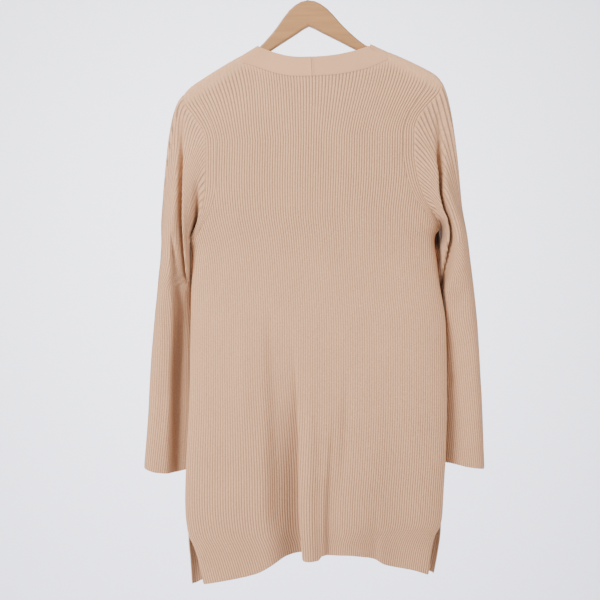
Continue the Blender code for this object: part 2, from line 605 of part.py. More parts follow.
def wire(line, radius, sides):
    """A round wire along a flat line, with closed ends."""
    run = np.gradient(line, axis=0)
    run /= np.linalg.norm(run, axis=1)[:, None]
    across = np.stack([-run[:, 2], run[:, 1] * 0, run[:, 0]], axis=1)
    turn = np.arange(sides) * 2 * np.pi / sides
    loop = line[:, None] + radius * (np.cos(turn)[None, :, None] * across[:, None]
                                     + np.sin(turn)[None, :, None] * np.array([0, 1.0, 0]))
    walls = [f[::-1] for f in quads(len(line), sides, True)]
    ends = [tuple(range(sides)), tuple(range(sides * len(line) - 1, sides * (len(line) - 1) - 1, -1))]
    return loop, walls + ends


loops, sides = wire(hook_line(), WIRE / 2, 12)
hook = solid("hanger_hook", leaned(loops.reshape(-1, 3)), sides, steel)
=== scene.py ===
# %% [markdown]
# A long rib-knit cardigan hangs on a flat wooden hanger, with its back towards us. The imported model
# already holds every piece at its real size as a plain 2 mm wall. This lesson gives those pieces
# their looks: each knitted piece is made again on the same form, but fine enough to carry its ribs,
# its fashioned edges and its soft folds, and the wood and steel get their finishes.

import bpy
import numpy as np
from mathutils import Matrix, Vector


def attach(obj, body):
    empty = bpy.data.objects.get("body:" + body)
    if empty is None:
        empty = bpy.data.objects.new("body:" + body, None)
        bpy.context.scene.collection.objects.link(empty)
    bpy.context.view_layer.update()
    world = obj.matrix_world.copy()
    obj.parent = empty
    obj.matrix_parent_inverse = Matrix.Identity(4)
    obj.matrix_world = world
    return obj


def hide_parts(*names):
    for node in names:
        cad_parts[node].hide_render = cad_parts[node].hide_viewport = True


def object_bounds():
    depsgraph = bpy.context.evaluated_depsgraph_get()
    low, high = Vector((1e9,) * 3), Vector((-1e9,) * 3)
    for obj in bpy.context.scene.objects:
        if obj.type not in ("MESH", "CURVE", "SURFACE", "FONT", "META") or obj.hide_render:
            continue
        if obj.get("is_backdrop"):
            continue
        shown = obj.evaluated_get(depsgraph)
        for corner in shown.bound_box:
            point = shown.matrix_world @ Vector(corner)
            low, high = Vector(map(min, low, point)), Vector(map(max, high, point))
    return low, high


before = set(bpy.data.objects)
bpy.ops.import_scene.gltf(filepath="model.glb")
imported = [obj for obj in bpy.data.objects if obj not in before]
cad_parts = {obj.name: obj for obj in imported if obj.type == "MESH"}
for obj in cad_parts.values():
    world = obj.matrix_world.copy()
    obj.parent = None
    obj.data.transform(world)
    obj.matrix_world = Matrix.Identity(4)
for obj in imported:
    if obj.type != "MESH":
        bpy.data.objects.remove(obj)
cad_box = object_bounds()
bpy.ops.object.select_all(action="DESELECT")
print("nodes:", ", ".join(sorted(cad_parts)))

# %% [markdown]
# Knitwear is measured flat, in millimetres, so that is how its sizes are kept here: x runs out from
# the centre back, z down from the hook, and y through the cloth, with the back at minus. The tables
# are the cut and the hang of the cardigan, a row for each height or fold. They are the tables of the
# solids with some places refined: the step in the back's hem is sharper, the body is pinched more
# just below the armholes, and the sleeves reach up to 8 mm further behind the body there. Most of the
# fine cloth lies within 1 mm of the solids, and the deepest folds and valleys up to 18 mm off them.

# %% Sizes of the garment
WALL = 2.0
ARM_Y = 8.6  # from the middle of the hanger's arms to the middle of the cloth on them
WRAP = 9.0  # how far the cloth's turn over the arms starts below their ridge
UNDERARM_Z = -440.0
VENT_Z = -900.0
HEM_Z = -984.0
NECK_X = 114.0
TIP_X = 202.0
TIP_Z = -219.5
OVAL = 2.6  # power of the body's flat oval, 2 is an ellipse
BICEP_Z = -465.0


def rows(names, *data):
    """A table with named columns, one row for each section."""
    return {name: np.array([row[i] for row in data], float) for i, name in enumerate(names.split())}


SIDES = {-1: "left", 1: "right"}
RIDGE = rows("x z", (0, -91), (60, -125), (87, -141), (107, -151.5), (130, -162.5),
             (153, -174.5), (176, -187.5), (191, -197), (198, -203.5), (204, -211), (216, -232))
NECK = rows("x z", (0, -192.5), (30, -191.5), (58, -187), (86, -178.5), (104, -171.5), (114, -168))
ARMHOLE = rows("z left right",
               (-219.5, 202, 202), (-229, 197, 197.5), (-240, 188.5, 187), (-251, 181, 177),
               (-265, 172, 166), (-284, 165, 160), (-320, 163.5, 160), (-355, 163, 165),
               (-388, 167, 175), (-411, 174, 187), (-424, 181.5, 194.3), (-431, 186, 197),
               (-435.5, 189.7, 199.2), (-438.2, 192.2, 200.3), (-440, 194, 201))
BODY_SIDES = ((-150, 236, 236, 0), (-190, 232, 232, 0), (-240, 226, 226, 0), (-284, 220, 220, 0),
              (-340, 213, 213, 0), (-400, 205, 209, 0), (-440, 194, 201, 0), (-450, 189.5, 192.5, -0.5),
              (-464, 188.5, 190, -1), (-484, 190, 191, -2), (-530, 195, 194, -5),
              (-590, 197.5, 200.5, -9), (-660, 198.5, 202, -11), (-800, 202, 202.5, -12),
              (-860, 201, 201, -12), (-900, 197, 197.5, -12.5))
BACK_DEEP = (14, 18, 24, 29, 33, 35, 35, 34.8, 34.5, 34, 33, 31, 30, 29, 28, 26)
FRONT_DEEP = (10, 13, 17, 20, 23, 25, 26, 26.4, 27, 28, 31, 34, 37, 40, 40, 38)
BACK_VENT = ((-920, 188, 186, -15, 22), (-940, 182, 180.5, -17, 18), (-984, 173.5, 174, -20, 12))
FRONT_VENT = ((-920, 197, 196.5, -9, 33), (-940, 196, 194, -4, 28), (-984, 195, 186, 2, 18))
BODY = {face: rows("z left right side deep", *(row + (d,) for row, d in zip(BODY_SIDES, deep)), *vent)
        for face, deep, vent in ((-1, BACK_DEEP, BACK_VENT), (1, FRONT_DEEP, FRONT_VENT))}
BACK_HEM = rows("x z", (-174, -979), (-156, -976), (-115, -969), (-90, -963), (-73, -955),
                (-59, -947), (-47, -941), (-27, -937), (-22, -945.5), (-11, -947), (4, -946),
                (11, -940), (44, -940.5), (80, -946), (94, -950.5), (107, -958.5), (152, -969.5),
                (174, -978))
FRONT_HEM = rows("x z", (10, -934), (50, -936), (90, -943), (120, -955), (150, -968), (190, -984))
FRONT_EDGE = rows("z band open",
                  (-160, 114, 85), (-175, 113, 81), (-200, 104, 66), (-250, 85.5, 47),
                  (-300, 68, 31), (-350, 54, 17), (-400, 43.5, 7), (-425, 41.5, 5.5),
                  (-700, 46, 10), (-984, 51, 15))
BAND_TOP = rows("x inner z", (0, 0, -161.5), (30, 18, -161), (58, 36, -159), (86, 60, -153.5),
                (104, 76, -148.5), (114, 85, -145))
RING_SIZES = "z inner tail outer y_in y_out half push back_x back_deep"
SLEEVE = {-1: rows(RING_SIZES, (-330, 200, 0, 236, 0, 0, 0, 0, 222, 3),
                   (-400, 196, 0, 236, 0, 0, 0, 0, 222, 6),
                   (-465, 194.5, 13, 239.5, 3, 3, 37, 0, 221, 8),
                   (-490, 195.5, 14, 244, 6, 3, 36, 1, 223, 8),
                   (-515, 196, 12, 248, 11, 4, 34, 4, 224, 7),
                   (-560, 193, 3, 255, 23, 5, 31, 7, 225, 6),
                   (-625, 188, 0, 261.5, 30, 6, 28, 8, 225, 5),
                   (-700, 187, 0, 265.5, 32, 7, 25.5, 7, 225, 4),
                   (-800, 190, 0, 270.5, 30, 8, 23, 6, 226, 3)),
          1: rows(RING_SIZES, (-330, 204, 0, 236, 0, 0, 0, 0, 226, 3),
                  (-400, 204, 0, 236, 0, 0, 0, 0, 226, 5),
                  (-465, 202.5, 22, 243, 2, 3, 37, 0, 226, 7),
                  (-490, 201.5, 22, 244.5, 4, 3, 36, 2, 226, 7),
                  (-515, 198, 16, 246.5, 9, 4, 34, 4, 226, 7),
                  (-560, 190, 2, 250, 24, 5, 31, 3, 228, 6),
                  (-625, 187, 0, 255, 30, 6, 28, 1, 230, 5),
                  (-700, 186, 0, 260, 32, 7, 25.5, 0, 232, 4),
                  (-800, 190, 0, 267.5, 30, 8, 23, 0, 234, 3))}
CUFF = {-1: rows("x z", (186, -803), (206, -804), (222, -807), (250, -804), (271, -797)),
        1: rows("x z", (186, -808), (211, -810), (241, -817), (269, -822))}
SWAY = rows("z x", (-60, 3.4), (-140, 8), (-212, 11.5), (-284, 10), (-400, 8), (-450, 12),
            (-600, 19), (-700, 19), (-800, 16.5), (-860, 14.5), (-985, 17))
LEAN = rows("z deg", (-60, 3.2), (-220, 3.2), (-450, 3.0), (-985, 2.3))
print("neck to hem, mm:", NECK["z"][0] - HEM_Z)

# %% [markdown]
# A fold in a heavy knit is a long soft trough or ridge that starts from nothing, deepens as it goes
# down, and wanders a little. Each one is a row of this table: where its line starts and ends, where
# it is full and where it dies out, how wide it is on its inner and outer side, how deep it is, and
# how far its floor is tucked sideways under its own edge. All were placed one by one, uneven in length
# and depth, and side 1 is the fronts. The solids have the same folds, except that here the first is
# shallower and moved over to make room for the second, which is new, and the fifth is a bit larger.

# %% Folds of the body
FOLDS = rows("side x_top z_top x_low z_low z_full z_end in_w out_w deep tuck",
             (-1, -38, -590, -24, -984, -860, -1100, 23, 4, 21, 6),
             (-1, -62, -570, -46, -984, -800, -1100, 16, 16, 9, 0),
             (-1, -76, -510, -62, -900, -680, -860, 12, 10, 5, 0),
             (-1, -14, -620, -7, -984, -850, -1100, 12, 12, -6, 0),
             (-1, 25, -690, 17, -984, -900, -1100, 5, 14, 7, 0),
             (-1, 46, -640, 40, -860, -740, -800, 9, 9, 3, 0),
             (-1, 96, -850, 90, -984, -950, -1100, 22, 6, 5, 0),
             (-1, -116, -540, -112, -800, -640, -700, 16, 16, -3, 0),
             (-1, 118, -700, 112, -984, -860, -1100, 26, 30, 4, 0),
             (1, -120, -540, -108, -984, -880, -1100, 14, 20, -9, 0),
             (1, -78, -700, -80, -984, -930, -1100, 12, 10, -6, 0),
             (1, 92, -600, 84, -984, -900, -1100, 18, 12, -10, 0),
             (1, 142, -660, 136, -984, -940, -1100, 12, 16, -5, 0))
print("folds of the back and fronts:", len(FOLDS["side"]))

# %% [markdown]
# The sleeves hang from the shoulder tips and turn inwards, so each has a deep valley on the side
# towards us, under the edge of the roll beside the body. On the left that valley ends near the elbow
# and a second one takes over, under the edge of the outer roll, down to the cuff. A short hollow lies
# beside the left armhole. Here a row is one height: where the valley is, its depth, its widths
# towards the body and away from it, how far its floor is tucked towards the body, whether it starts
# quickly, right at the armhole's seam, and how much painted shade darkens the cloth folded into it. A
# dent is a small crease of its own: its middle, about half its length and width, its turn in degrees
# and its depth.

# %% Valleys of the sleeves
# the dark column is how much painted shade darkens the cloth in the valley
VALLEY = "z x deep in_w out_w tuck quick dark"
VALLEYS = {
    -1: [rows(VALLEY,
              (-235, 200, 0, 2.5, 5, 0, 0, 0.15), (-263, 203, 8, 3, 5, 2, 0, 0.15),
              (-300, 203.5, 13, 3, 4.5, 4, 0, 0.15), (-340, 203, 18, 2.5, 4.5, 5, 0, 0.2),
              (-400, 202.5, 22, 2.5, 4.5, 5, 0, 0.3), (-450, 204.5, 22, 2.5, 4.5, 5, 0, 0.3),
              (-490, 204.5, 19, 2.5, 4.5, 4, 0, 0.3), (-518, 202, 7, 3, 5, 3, 0, 0.15),
              (-545, 200, 1, 3, 6, 1, 0, 0.1), (-590, 198, 0, 3, 8, 0, 0, 0.1)),
         rows(VALLEY,
              (-425, 217, 0, 6, 3, 0, 0, 0.1), (-456, 217, 9, 7, 3, -2, 0, 0.15),
              (-511, 218.5, 16, 9, 3, -4, 0, 0.2), (-543, 219.5, 18, 12, 3.5, -5, 0, 0.2),
              (-590, 222, 17, 13, 4, -5, 0, 0.22), (-669, 224, 15, 14, 5, -5, 0, 0.25),
              (-733, 223, 13, 14, 7, -4, 0, 0.25), (-811, 221, 10, 14, 8, -3, 0, 0.25)),
         rows(VALLEY,
              (-345, 176, 0, 6, 5, 0, 1, 0.2), (-378, 177, 9, 5, 5, 0, 1, 0.25),
              (-400, 177.5, 16, 4.5, 5, 0, 1, 0.3), (-420, 181.5, 24, 4, 5, 0, 1, 0.4),
              (-428, 186, 23, 4, 4, 0, 1, 0.4), (-435, 190.5, 11, 3.5, 3, 0, 1, 0.3),
              (-440, 193, 0, 3, 3, 0, 1, 0.1))],
    1: [rows(VALLEY,
             (-245, 198, 0, 3, 7, 0, 0, 0.1), (-300, 200, 9, 4, 6, 3, 0, 0.15),
             (-335, 201, 15, 3.5, 5.5, 5, 0, 0.25), (-361, 203, 20, 2.5, 4.5, 6, 0, 0.4),
             (-385, 204, 24, 2.5, 4, 6, 0, 0.5), (-400, 206.7, 25, 2.5, 4, 6, 0, 0.5),
             (-417, 210.8, 25, 2.5, 4, 6, 0, 0.45), (-430, 214.5, 25, 2.5, 4, 6, 0, 0.4),
             (-450, 215.8, 25, 2.5, 4.5, 6, 0, 0.4), (-483, 213, 23, 4, 6, 6, 0, 0.35),
             (-511, 206, 23, 4, 5, 2, 0, 0.45), (-540, 198.5, 25, 5, 3.5, -3, 0, 0.85),
             (-580, 200, 20, 5, 2.4, -4, 0, 0.8), (-620, 202.6, 11, 5, 1.7, -2, 0, 0.6),
             (-700, 203, 7, 5, 1.7, 0, 0, 0.5), (-811, 203.5, 5, 5, 2, 0, 0, 0.4)),
        rows(VALLEY,
             (-408, 190, 0, 4, 3, 0, 1, 0.2), (-424, 198.5, 6, 4, 3, 0, 1, 0.3),
             (-431, 202.5, 15, 4, 3.5, 0, 1, 0.6), (-440, 204.5, 19, 4, 3.5, 0, 1, 0.8),
             (-452, 204, 19, 4, 3.5, 0, 1, 0.8), (-463, 202.5, 12, 4, 3.5, 0, 1, 0.6),
             (-478, 201, 0, 4, 3, 0, 1, 0.1))]}
DENTS = rows("side x z long wide turn deep",
             (1, 211, -672, 9, 3, -38, 3.5),
             (1, 226, -560, 40, 9, 80, 1.5),
             (-1, 238, -540, 36, 8, 80, 1.5),
             (-1, 244, -700, 40, 9, 96, 1.5))
print("valleys:", {SIDES[side]: len(valleys) for side, valleys in VALLEYS.items()})

# %% [markdown]
# Tables are read with a smooth curve that never overshoots its rows, so a long straight side stays
# straight. Lines are read straight between their points, by their length.

# %% Reading tables and lines


def at(table, name, where):
    """Smooth value of a column at some places along the table's first column."""
    key = next(iter(table))
    order = np.argsort(table[key])
    x, y = table[key][order], table[name][order]
    gap = np.diff(x)
    rise = np.diff(y) / gap
    slope = np.concatenate([rise[:1], np.zeros(len(x) - 2), rise[-1:]])
    both = rise[1:] * rise[:-1]
    slope[1:-1] = np.where(both > 0, 2 * both / np.where(both > 0, rise[1:] + rise[:-1], 1), 0)
    w = np.clip(where, x[0], x[-1])
    i = np.clip(np.searchsorted(x, w) - 1, 0, len(gap) - 1)
    s = (w - x[i]) / gap[i]
    near = y[i] * (1 + 2 * s) * (1 - s) ** 2 + slope[i] * gap[i] * s * (1 - s) ** 2
    return near + y[i + 1] * s * s * (3 - 2 * s) + slope[i + 1] * gap[i] * s * s * (s - 1)


def ease(a):
    """0 below 0, 1 above 1, smooth between."""
    a = np.clip(a, 0, 1)
    return a * a * (3 - 2 * a)


def grown(least, a):
    """A factor that grows smoothly from its least value at 0 to 1 at 1."""
    return least + (1 - least) * ease(a)


def length_along(line):
    """Length from the first point to each point, of one line or of many side by side."""
    step = np.linalg.norm(np.diff(line, axis=0), axis=-1)
    return np.concatenate([0 * step[:1], np.cumsum(step, axis=0)])


def picked(places, marks, line):
    """Points at some places of a line whose own points stand at the marks."""
    return np.stack([np.interp(places, marks, line[:, k]) for k in range(3)], axis=1)


print("half widths at the underarm, mm:", at(BODY[-1], "left", UNDERARM_Z), at(BODY[-1], "right", UNDERARM_Z))

# %% [markdown]
# The cloth of the body is one formula: a flat oval hung from the shoulders, pulled in to the hanger's
# arms near the ridge, with the folds added.

# %% The form of the body
FOLD_FADE = 60.0
ARM_REACH = 58.0  # how far below the ridge the arms still pull the cloth in


def fold_push(x, z, face):
    """How far the folds of one face push the cloth, along y and sideways."""
    push, slide = np.zeros((2,) + np.broadcast(x, z).shape)
    for i in np.flatnonzero(FOLDS["side"] == face):
        f = {name: column[i] for name, column in FOLDS.items()}
        centre = f["x_top"] + (f["x_low"] - f["x_top"]) * (z - f["z_top"]) / (f["z_low"] - f["z_top"])
        full = (z - f["z_top"]) / (f["z_full"] - f["z_top"])
        gone = 1 - ease((z - f["z_end"]) / -FOLD_FADE)
        wide = np.where(x < centre, f["in_w"], f["out_w"]) * grown(0.6, full)
        part = ease(full) * gone * np.exp(-(((x - centre) / wide) ** 2))
        push, slide = push + f["deep"] * part, slide + f["tuck"] * part
    return push, slide


def cloth_y(x, z, face):
    """Middle of the body's cloth: the back with face -1, a front with face 1."""
    table = BODY[face]
    half = np.where(x < 0, at(table, "left", z), at(table, "right", z))
    across = np.minimum(np.abs(x) / half, 1)
    oval = (1 - across ** OVAL) ** (1 / OVAL)
    hung = at(table, "side", z) + face * at(table, "deep", z) * oval
    near = np.exp(-((np.maximum(at(RIDGE, "z", np.abs(x)) - z - WRAP, 0) / ARM_REACH) ** 2))
    return face * ARM_Y * near + hung * (1 - near) + fold_push(x, z, face)[0]


def draped(x, z, face):
    """Points of the body's cloth, with the floors of the folds tucked sideways."""
    z = z + 0 * x
    return np.stack([x + fold_push(x, z, face)[1], cloth_y(x, z, face), z], axis=-1)


deepest = cloth_y(0.0, VENT_Z, 1) - cloth_y(0.0, VENT_Z, -1)
print("depth of the body at its vents, mm:", round(float(deepest), 1))

# %% [markdown]
# On the shoulders the fronts go over the hanger's arms in half a turn. The shoulders have slid up to
# 7 mm to the right along the arms, so that they sit higher on the left arm and lower on the right one,
# and the whole cloth tilts and sways with the leaning hanger.

# %% On the hanger
SLIP = 7.0
SLIP_X = 100.0
SLIP_WIDE = 55.0
ARM_SLOPE = 0.56
FAN_Z = -290.0  # where the ribs start to fan out to the shoulder, and the slip starts


def seam_z(x):
    """Height of the straight shoulder seam, which lies on the back."""
    low = at(NECK, "z", NECK_X)
    return low + (TIP_Z - low) * (x - NECK_X) / (TIP_X - NECK_X)


def over_arm(side, x, angle):
    """A row of a front over the hanger's arm, at one angle of the turn."""
    turn = np.radians(angle)
    x = np.atleast_1d(np.asarray(x, float))
    z = at(RIDGE, "z", x) - WRAP + WRAP * np.sin(turn)
    y = ARM_Y * np.cos(turn) + 0 * x
    if angle == 180:
        z = seam_z(x)
        y = cloth_y(side * x, z, -1)
    return np.stack([side * x, y, z], axis=1)


def settle(points):
    """Cloth in its own frame put on the leaning hanger: slid along the arms, swayed and tilted."""
    x, y, z = points[..., 0], points[..., 1], points[..., 2]
    slip = SLIP * np.exp(-(((np.abs(x) - SLIP_X) / SLIP_WIDE) ** 2)) * ease((z - FAN_Z) / 120)
    x = x + slip
    z = z - ARM_SLOPE * np.sign(x) * slip
    tilt = x * np.tan(np.radians(at(LEAN, "deg", z)))
    return np.stack([x + at(SWAY, "x", z), y, z + tilt], axis=-1)


tips = settle(np.array([[-TIP_X, 0, TIP_Z], [TIP_X, 0, TIP_Z]]))
print("one shoulder tip is higher by, mm:", round(float(np.ptp(tips[:, 2])), 1))

# %% [markdown]
# Fully fashioned rib knitting has a plan. The ribs run straight up the body, and the four ribs at
# each edge never end: they follow the side seam and the armhole to the shoulder, while the ribs next
# to them are taken in, one by one, where the armhole curves in, until 37 of 54 are left on each side.
# From halfway up the armhole they spread and lean out to the shoulder. So a rib is a column of the
# mesh, with four faces across it, and a rib that ends is a column whose width runs out.

# %% The plan of the ribs
BODY_RIBS = 54
EDGE_RIBS = 4
LEAST_STRIP = 5.0
PER_RIB = 4
RIB_MM = 3.95
WAIST_Z = -543.0
TAPER_Z = -490.0
FAN_LONG = 130.0  # from the start of the fan to the shoulder, along the ribs
STRIP = rows("z wide", (-984, 15), (-543, 13.5), (-440, 9), (-418, 9.5), (-400, 13), (-366, 16),
             (-290, 16.5))
FAN = rows("share x", (0, 0), (0.25, 52), (0.4, 82), (0.5, 102), (0.56, 114), (0.72, 147),
           (0.86, 175), (1, 202))
HEM_EDGE = (0.0, 0.7, 1.8, 3.6)
LEVELS = ([HEM_Z + d for d in HEM_EDGE] + list(np.arange(-972, -480, 11.0))
          + list(np.arange(-474, -443, 5.0)) + [-440, -438.6, -436.6, -434, -430.5, -426.5]
          + list(np.arange(-422, -392, 5.0)) + list(np.arange(-390, -294, 8.0)) + [FAN_Z])
FAN_ROWS = list(np.linspace(0.055, 0.96, 17)) + [0.985, 1.0]
ROWS_ALONG = LEVELS + [FAN_Z + FAN_LONG * t for t in FAN_ROWS]


def body_half(face, side, z):
    """Half width of the body: its side seam, and above the underarm its armhole."""
    name = SIDES[side]
    return np.where(z < UNDERARM_Z, at(BODY[face], name, z), at(ARMHOLE, name, z))


def half_row(face, side, level):
    """Fine line across one half of a face at one height, and its length from the centre."""
    reach = np.sin(np.linspace(0, 1, 1200) * np.pi / 2)
    low = ease((level - VENT_Z) / (HEM_Z - VENT_Z))
    x = side * reach * 190.0  # a first guess, which the loop makes exact
    for _ in range(4):
        hem = at(BACK_HEM, "z", x) if face < 0 else at(FRONT_HEM, "z", np.abs(x))
        z = level + (hem - HEM_Z) * low
        x = side * reach * body_half(face, side, z)
    line = draped(x, z, face)
    return line, length_along(line)


print("rows of a half:", len(ROWS_ALONG))

# %% [markdown]
# At each height the width has to be shared out. The edge strip takes up the slack where the body is
# narrow, so that the ribs between nearly keep their width, as a machine's stitches do.

# %% Widths of the ribs


def strip_wide(face, side, level, total):
    """Width of the strip of edge ribs, which takes up the slack where the body is narrow."""
    if level > UNDERARM_Z:
        foot = half_row(face, side, UNDERARM_Z)[1][-1]
        slack = strip_wide(face, side, UNDERARM_Z, foot) - at(STRIP, "wide", UNDERARM_Z)
        return at(STRIP, "wide", level) + slack * (1 - ease((level - UNDERARM_Z) / 25))
    if level > WAIST_Z:
        return max(total - BODY_RIBS * rib_pitch(face, side, level), LEAST_STRIP)
    return at(STRIP, "wide", level)


def rib_pitch(face, side, level):
    """Width of one rib of the body, which hardly changes between the waist and the armhole."""
    below = min(level, WAIST_Z)
    full = (half_row(face, side, below)[1][-1] - at(STRIP, "wide", below)) / BODY_RIBS
    return full + (RIB_MM - full) * ease((level - TAPER_Z) / 150.0)


print("rib width at the hem, mm:", round(float(rib_pitch(-1, -1, HEM_Z)), 2))

# %% [markdown]
# The grid of one half has a column for each quarter of a rib. Its rows are level up to the start of
# the fan, and then go over, step by step, to the line of the shoulder and neck.

# %% The grid of a half
RIB_NUMBER = np.concatenate([np.arange(BODY_RIBS * PER_RIB + 1) / PER_RIB,
                             BODY_RIBS + np.arange(1, EDGE_RIBS * PER_RIB + 1) / PER_RIB])


def body_row(face, side, level):
    """Points of all the ribs across one half at one height, up to where the ribs fan out."""
    line, length = half_row(face, side, level)
    inner = length[-1] - strip_wide(face, side, level, length[-1])
    share = np.clip(RIB_NUMBER - BODY_RIBS, 0, None) / EDGE_RIBS
    places = np.minimum(RIB_NUMBER * rib_pitch(face, side, level), inner)
    places = np.where(share > 0, inner + share * (length[-1] - inner), places)
    if face > 0:
        band = at(FRONT_EDGE, "band", line[:, 2])
        places = np.maximum(places, np.interp(0, np.abs(line[:, 0]) - band, length))
    return picked(places, length, line)


def fan_row(face, side, base, t):
    """Points of all the ribs at one step between the fan's start and the shoulder."""
    name = SIDES[side]
    start = np.abs(base[:, 0])
    edge = at(ARMHOLE, name, FAN_Z)
    share = np.clip(start / edge, 0, 1)
    top_x = at(FAN, "x", share)
    if face < 0:
        top_z = np.where(top_x <= NECK_X, at(NECK, "z", top_x), seam_z(top_x))
        edge_top = TIP_Z
    else:
        top_z = at(RIDGE, "z", np.maximum(top_x, NECK_X)) - WRAP
        edge_top = at(RIDGE, "z", TIP_X) - WRAP
    z = FAN_Z + (top_z - FAN_Z) * t
    along = (at(ARMHOLE, name, FAN_Z + (edge_top - FAN_Z) * t) - edge) / (TIP_X - edge)
    spread = along * share ** 3 + t ** 1.05 * (1 - share ** 3)
    x = start + (top_x - start) * spread
    if face > 0:
        x = np.maximum(x, at(FRONT_EDGE, "band", z))
    return draped(side * x, z, face)


def half_grid(face, side):
    """One half of a face, row by row from the hem, columns from the centre to the side."""
    low = [body_row(face, side, level) for level in LEVELS]
    return np.array(low + [fan_row(face, side, low[-1], t) for t in FAN_ROWS])


print("ribs across the back:", 2 * (BODY_RIBS + EDGE_RIBS))

# %% [markdown]
# A knitted piece is a shell: a face outside, a face inside, and a rim between them. Blender's
# Solidify would give an even wall, but ribs are thick at their crowns and thin in their valleys, and
# a linked edge is pressed flat. So the shell is made here in mesh code. Columns that have run out are
# merged, and each point gets the mean direction of its faces.

# %% Faces of a grid


def quads(high, wide, closed):
    """Corner numbers of a grid's faces, row by row, joined round when it is closed."""
    last = wide if closed else wide - 1
    r, c = np.meshgrid(np.arange(high - 1), np.arange(last), indexing="ij")
    d = (c + 1) % wide
    return np.stack([r * wide + c, r * wide + d, (r + 1) * wide + d, (r + 1) * wide + c], -1).reshape(-1, 4)


def merged(points, faces):
    """The points with those on one spot made one, the faces on them, and each point's new number."""
    _, first, number = np.unique(np.round(points / 0.02).astype(int), axis=0,
                                 return_index=True, return_inverse=True)
    return points[first], number.ravel()[faces], number.ravel()


def out_of(points, faces):
    """Mean outward direction of the faces round each point."""
    a, b, c, d = (points[faces[:, k]] for k in range(4))
    square = np.cross(c - a, d - b)
    total = np.zeros_like(points)
    for k in range(4):
        np.add.at(total, faces[:, k], square)
    return total / np.maximum(np.linalg.norm(total, axis=1), 1e-12)[:, None]


def lowest(values, number, count):
    """The least of the values that share a number."""
    low = np.full(count, np.inf)
    np.minimum.at(low, number, values)
    return low


square = quads(2, 2, False)
print("corners of the first face:", square[0].tolist(), "facing",
      out_of(np.array([[0, 0, 0], [1, 0, 0], [0, 1, 0], [1, 1, 0.0]]), square)[0].tolist())

# %% [markdown]
# Each point is then moved out by half the wall plus the height of the rib, and in by half the wall
# less half that height. The UV map holds real millimetres, across the ribs and along them, for the
# stitches of the yarn. The edges of the rim are marked sharp.

# %% A knitted shell


def knitted(name, mid, height, press, uv, flip, closed=False, seam_uv=None, stands=None, shade=None,
            beyond=None):
    """A shell round a grid of middle points in mm: height is the rib's, press thins the wall at edges,
    stands, kept as an attribute, says how far the ribs stand, shade, kept as an attribute too, is how
    much painted shade darkens a place in a fold or hollow, and beyond is a row of the cloth past the
    last seam, which only turns the edge so that it lies flush with its neighbour."""
    high, wide = mid.shape[:2]
    grid = quads(high, wide, closed)
    corners = uv.reshape(-1, 2)[grid]
    if closed:
        corners[:, 1:3, 0] = np.where(corners[:, 1:3, 0] < corners[:, :1, 0] - 1,
                                      corners[:, 1:3, 0] + seam_uv, corners[:, 1:3, 0])
    if flip:
        grid, corners = grid[:, ::-1], corners[:, ::-1]
    points, faces, number = merged(settle(mid).reshape(-1, 3), grid)
    out = out_of(points, faces)
    if beyond is not None:
        edge = settle(np.stack([mid[-2], mid[-1], beyond])).reshape(-1, 3)
        turned = quads(3, wide, False)
        out[number[-wide:]] = out_of(edge, turned[:, ::-1] if flip else turned)[wide:2 * wide]
    rib = lowest(height.ravel(), number, len(points))[:, None]
    thick = WALL / 2 * lowest(press.ravel(), number, len(points))[:, None]
    outer, inner = points + out * (thick + rib), points - out * (thick - 0.5 * rib)
    polygons, loop_uv, used = [], [], set()
    for face, uvs in zip(faces.tolist(), corners.tolist()):
        keep = [k for k in range(4) if face[k] != face[k - 1]]
        if len(keep) < 3 or len({face[k] for k in keep}) < 3:
            continue
        polygons.append([face[k] for k in keep])
        loop_uv.append([uvs[k] for k in keep])
        used.update(zip(polygons[-1], polygons[-1][1:] + polygons[-1][:1]))
    place = {a: uvs for face, uvs in zip(polygons, loop_uv) for a, uvs in zip(face, uvs)}
    n = len(points)
    rim = [(b, a, a + n, b + n) for a, b in used if (b, a) not in used]
    inside = [[k + n for k in face[::-1]] for face in polygons]
    inside_uv = [uvs[::-1] for uvs in loop_uv]
    rim_uv = [[place[b], place[a], place[a], place[b]] for b, a, _, _ in rim]
    mesh = bpy.data.meshes.new(name)
    mesh.from_pydata(np.concatenate([outer, inner]) * 0.001, [], polygons + inside + rim)
    pairs = [pair for uvs in loop_uv + inside_uv + rim_uv for pair in uvs]
    mesh.uv_layers.new(name="knit_mm").data.foreach_set("uv", np.ravel(pairs))
    # shade is stored as the attribute of painted shade that the rib material darkens by
    for label, values in (("rib_stand", stands), ("painted_fold_shade", shade)):
        if values is not None:
            part = lowest(values.ravel(), number, len(points))
            mesh.attributes.new(label, "FLOAT", "POINT").data.foreach_set("value", np.tile(part, 2))
    mesh.update()
    ends = np.zeros(2 * len(mesh.edges), int)
    mesh.edges.foreach_get("vertices", ends)
    ends = np.sort(ends.reshape(-1, 2), axis=1)
    turned = np.sort(np.array([(b, a) for b, a, _, _ in rim] + [(d, c) for _, _, c, d in rim]), axis=1)
    sharp = np.isin(ends @ [4 * n, 1], turned @ [4 * n, 1])
    mesh.attributes.new("sharp_edge", "BOOLEAN", "EDGE").data.foreach_set("value", sharp)
    mesh.polygons.foreach_set("use_smooth", [True] * len(mesh.polygons))
    mesh.update()
    made = bpy.data.objects.new(name, mesh)
    bpy.context.scene.collection.objects.link(made)
    print(name, len(mesh.polygons) * 2, "triangles or less")
    return made


# %% [markdown]
# One rib is a rounded crown between two narrow valleys. Its height is read from the rib's number, so
# it stays with the rib wherever that leans. Hand-feel matters: no two ribs of a real machine knit
# stand quite alike, so the height drifts slowly along and across, and it fades where the cloth is
# pressed in a seam, where the wall is thinner too. Both are shares of the full size there.

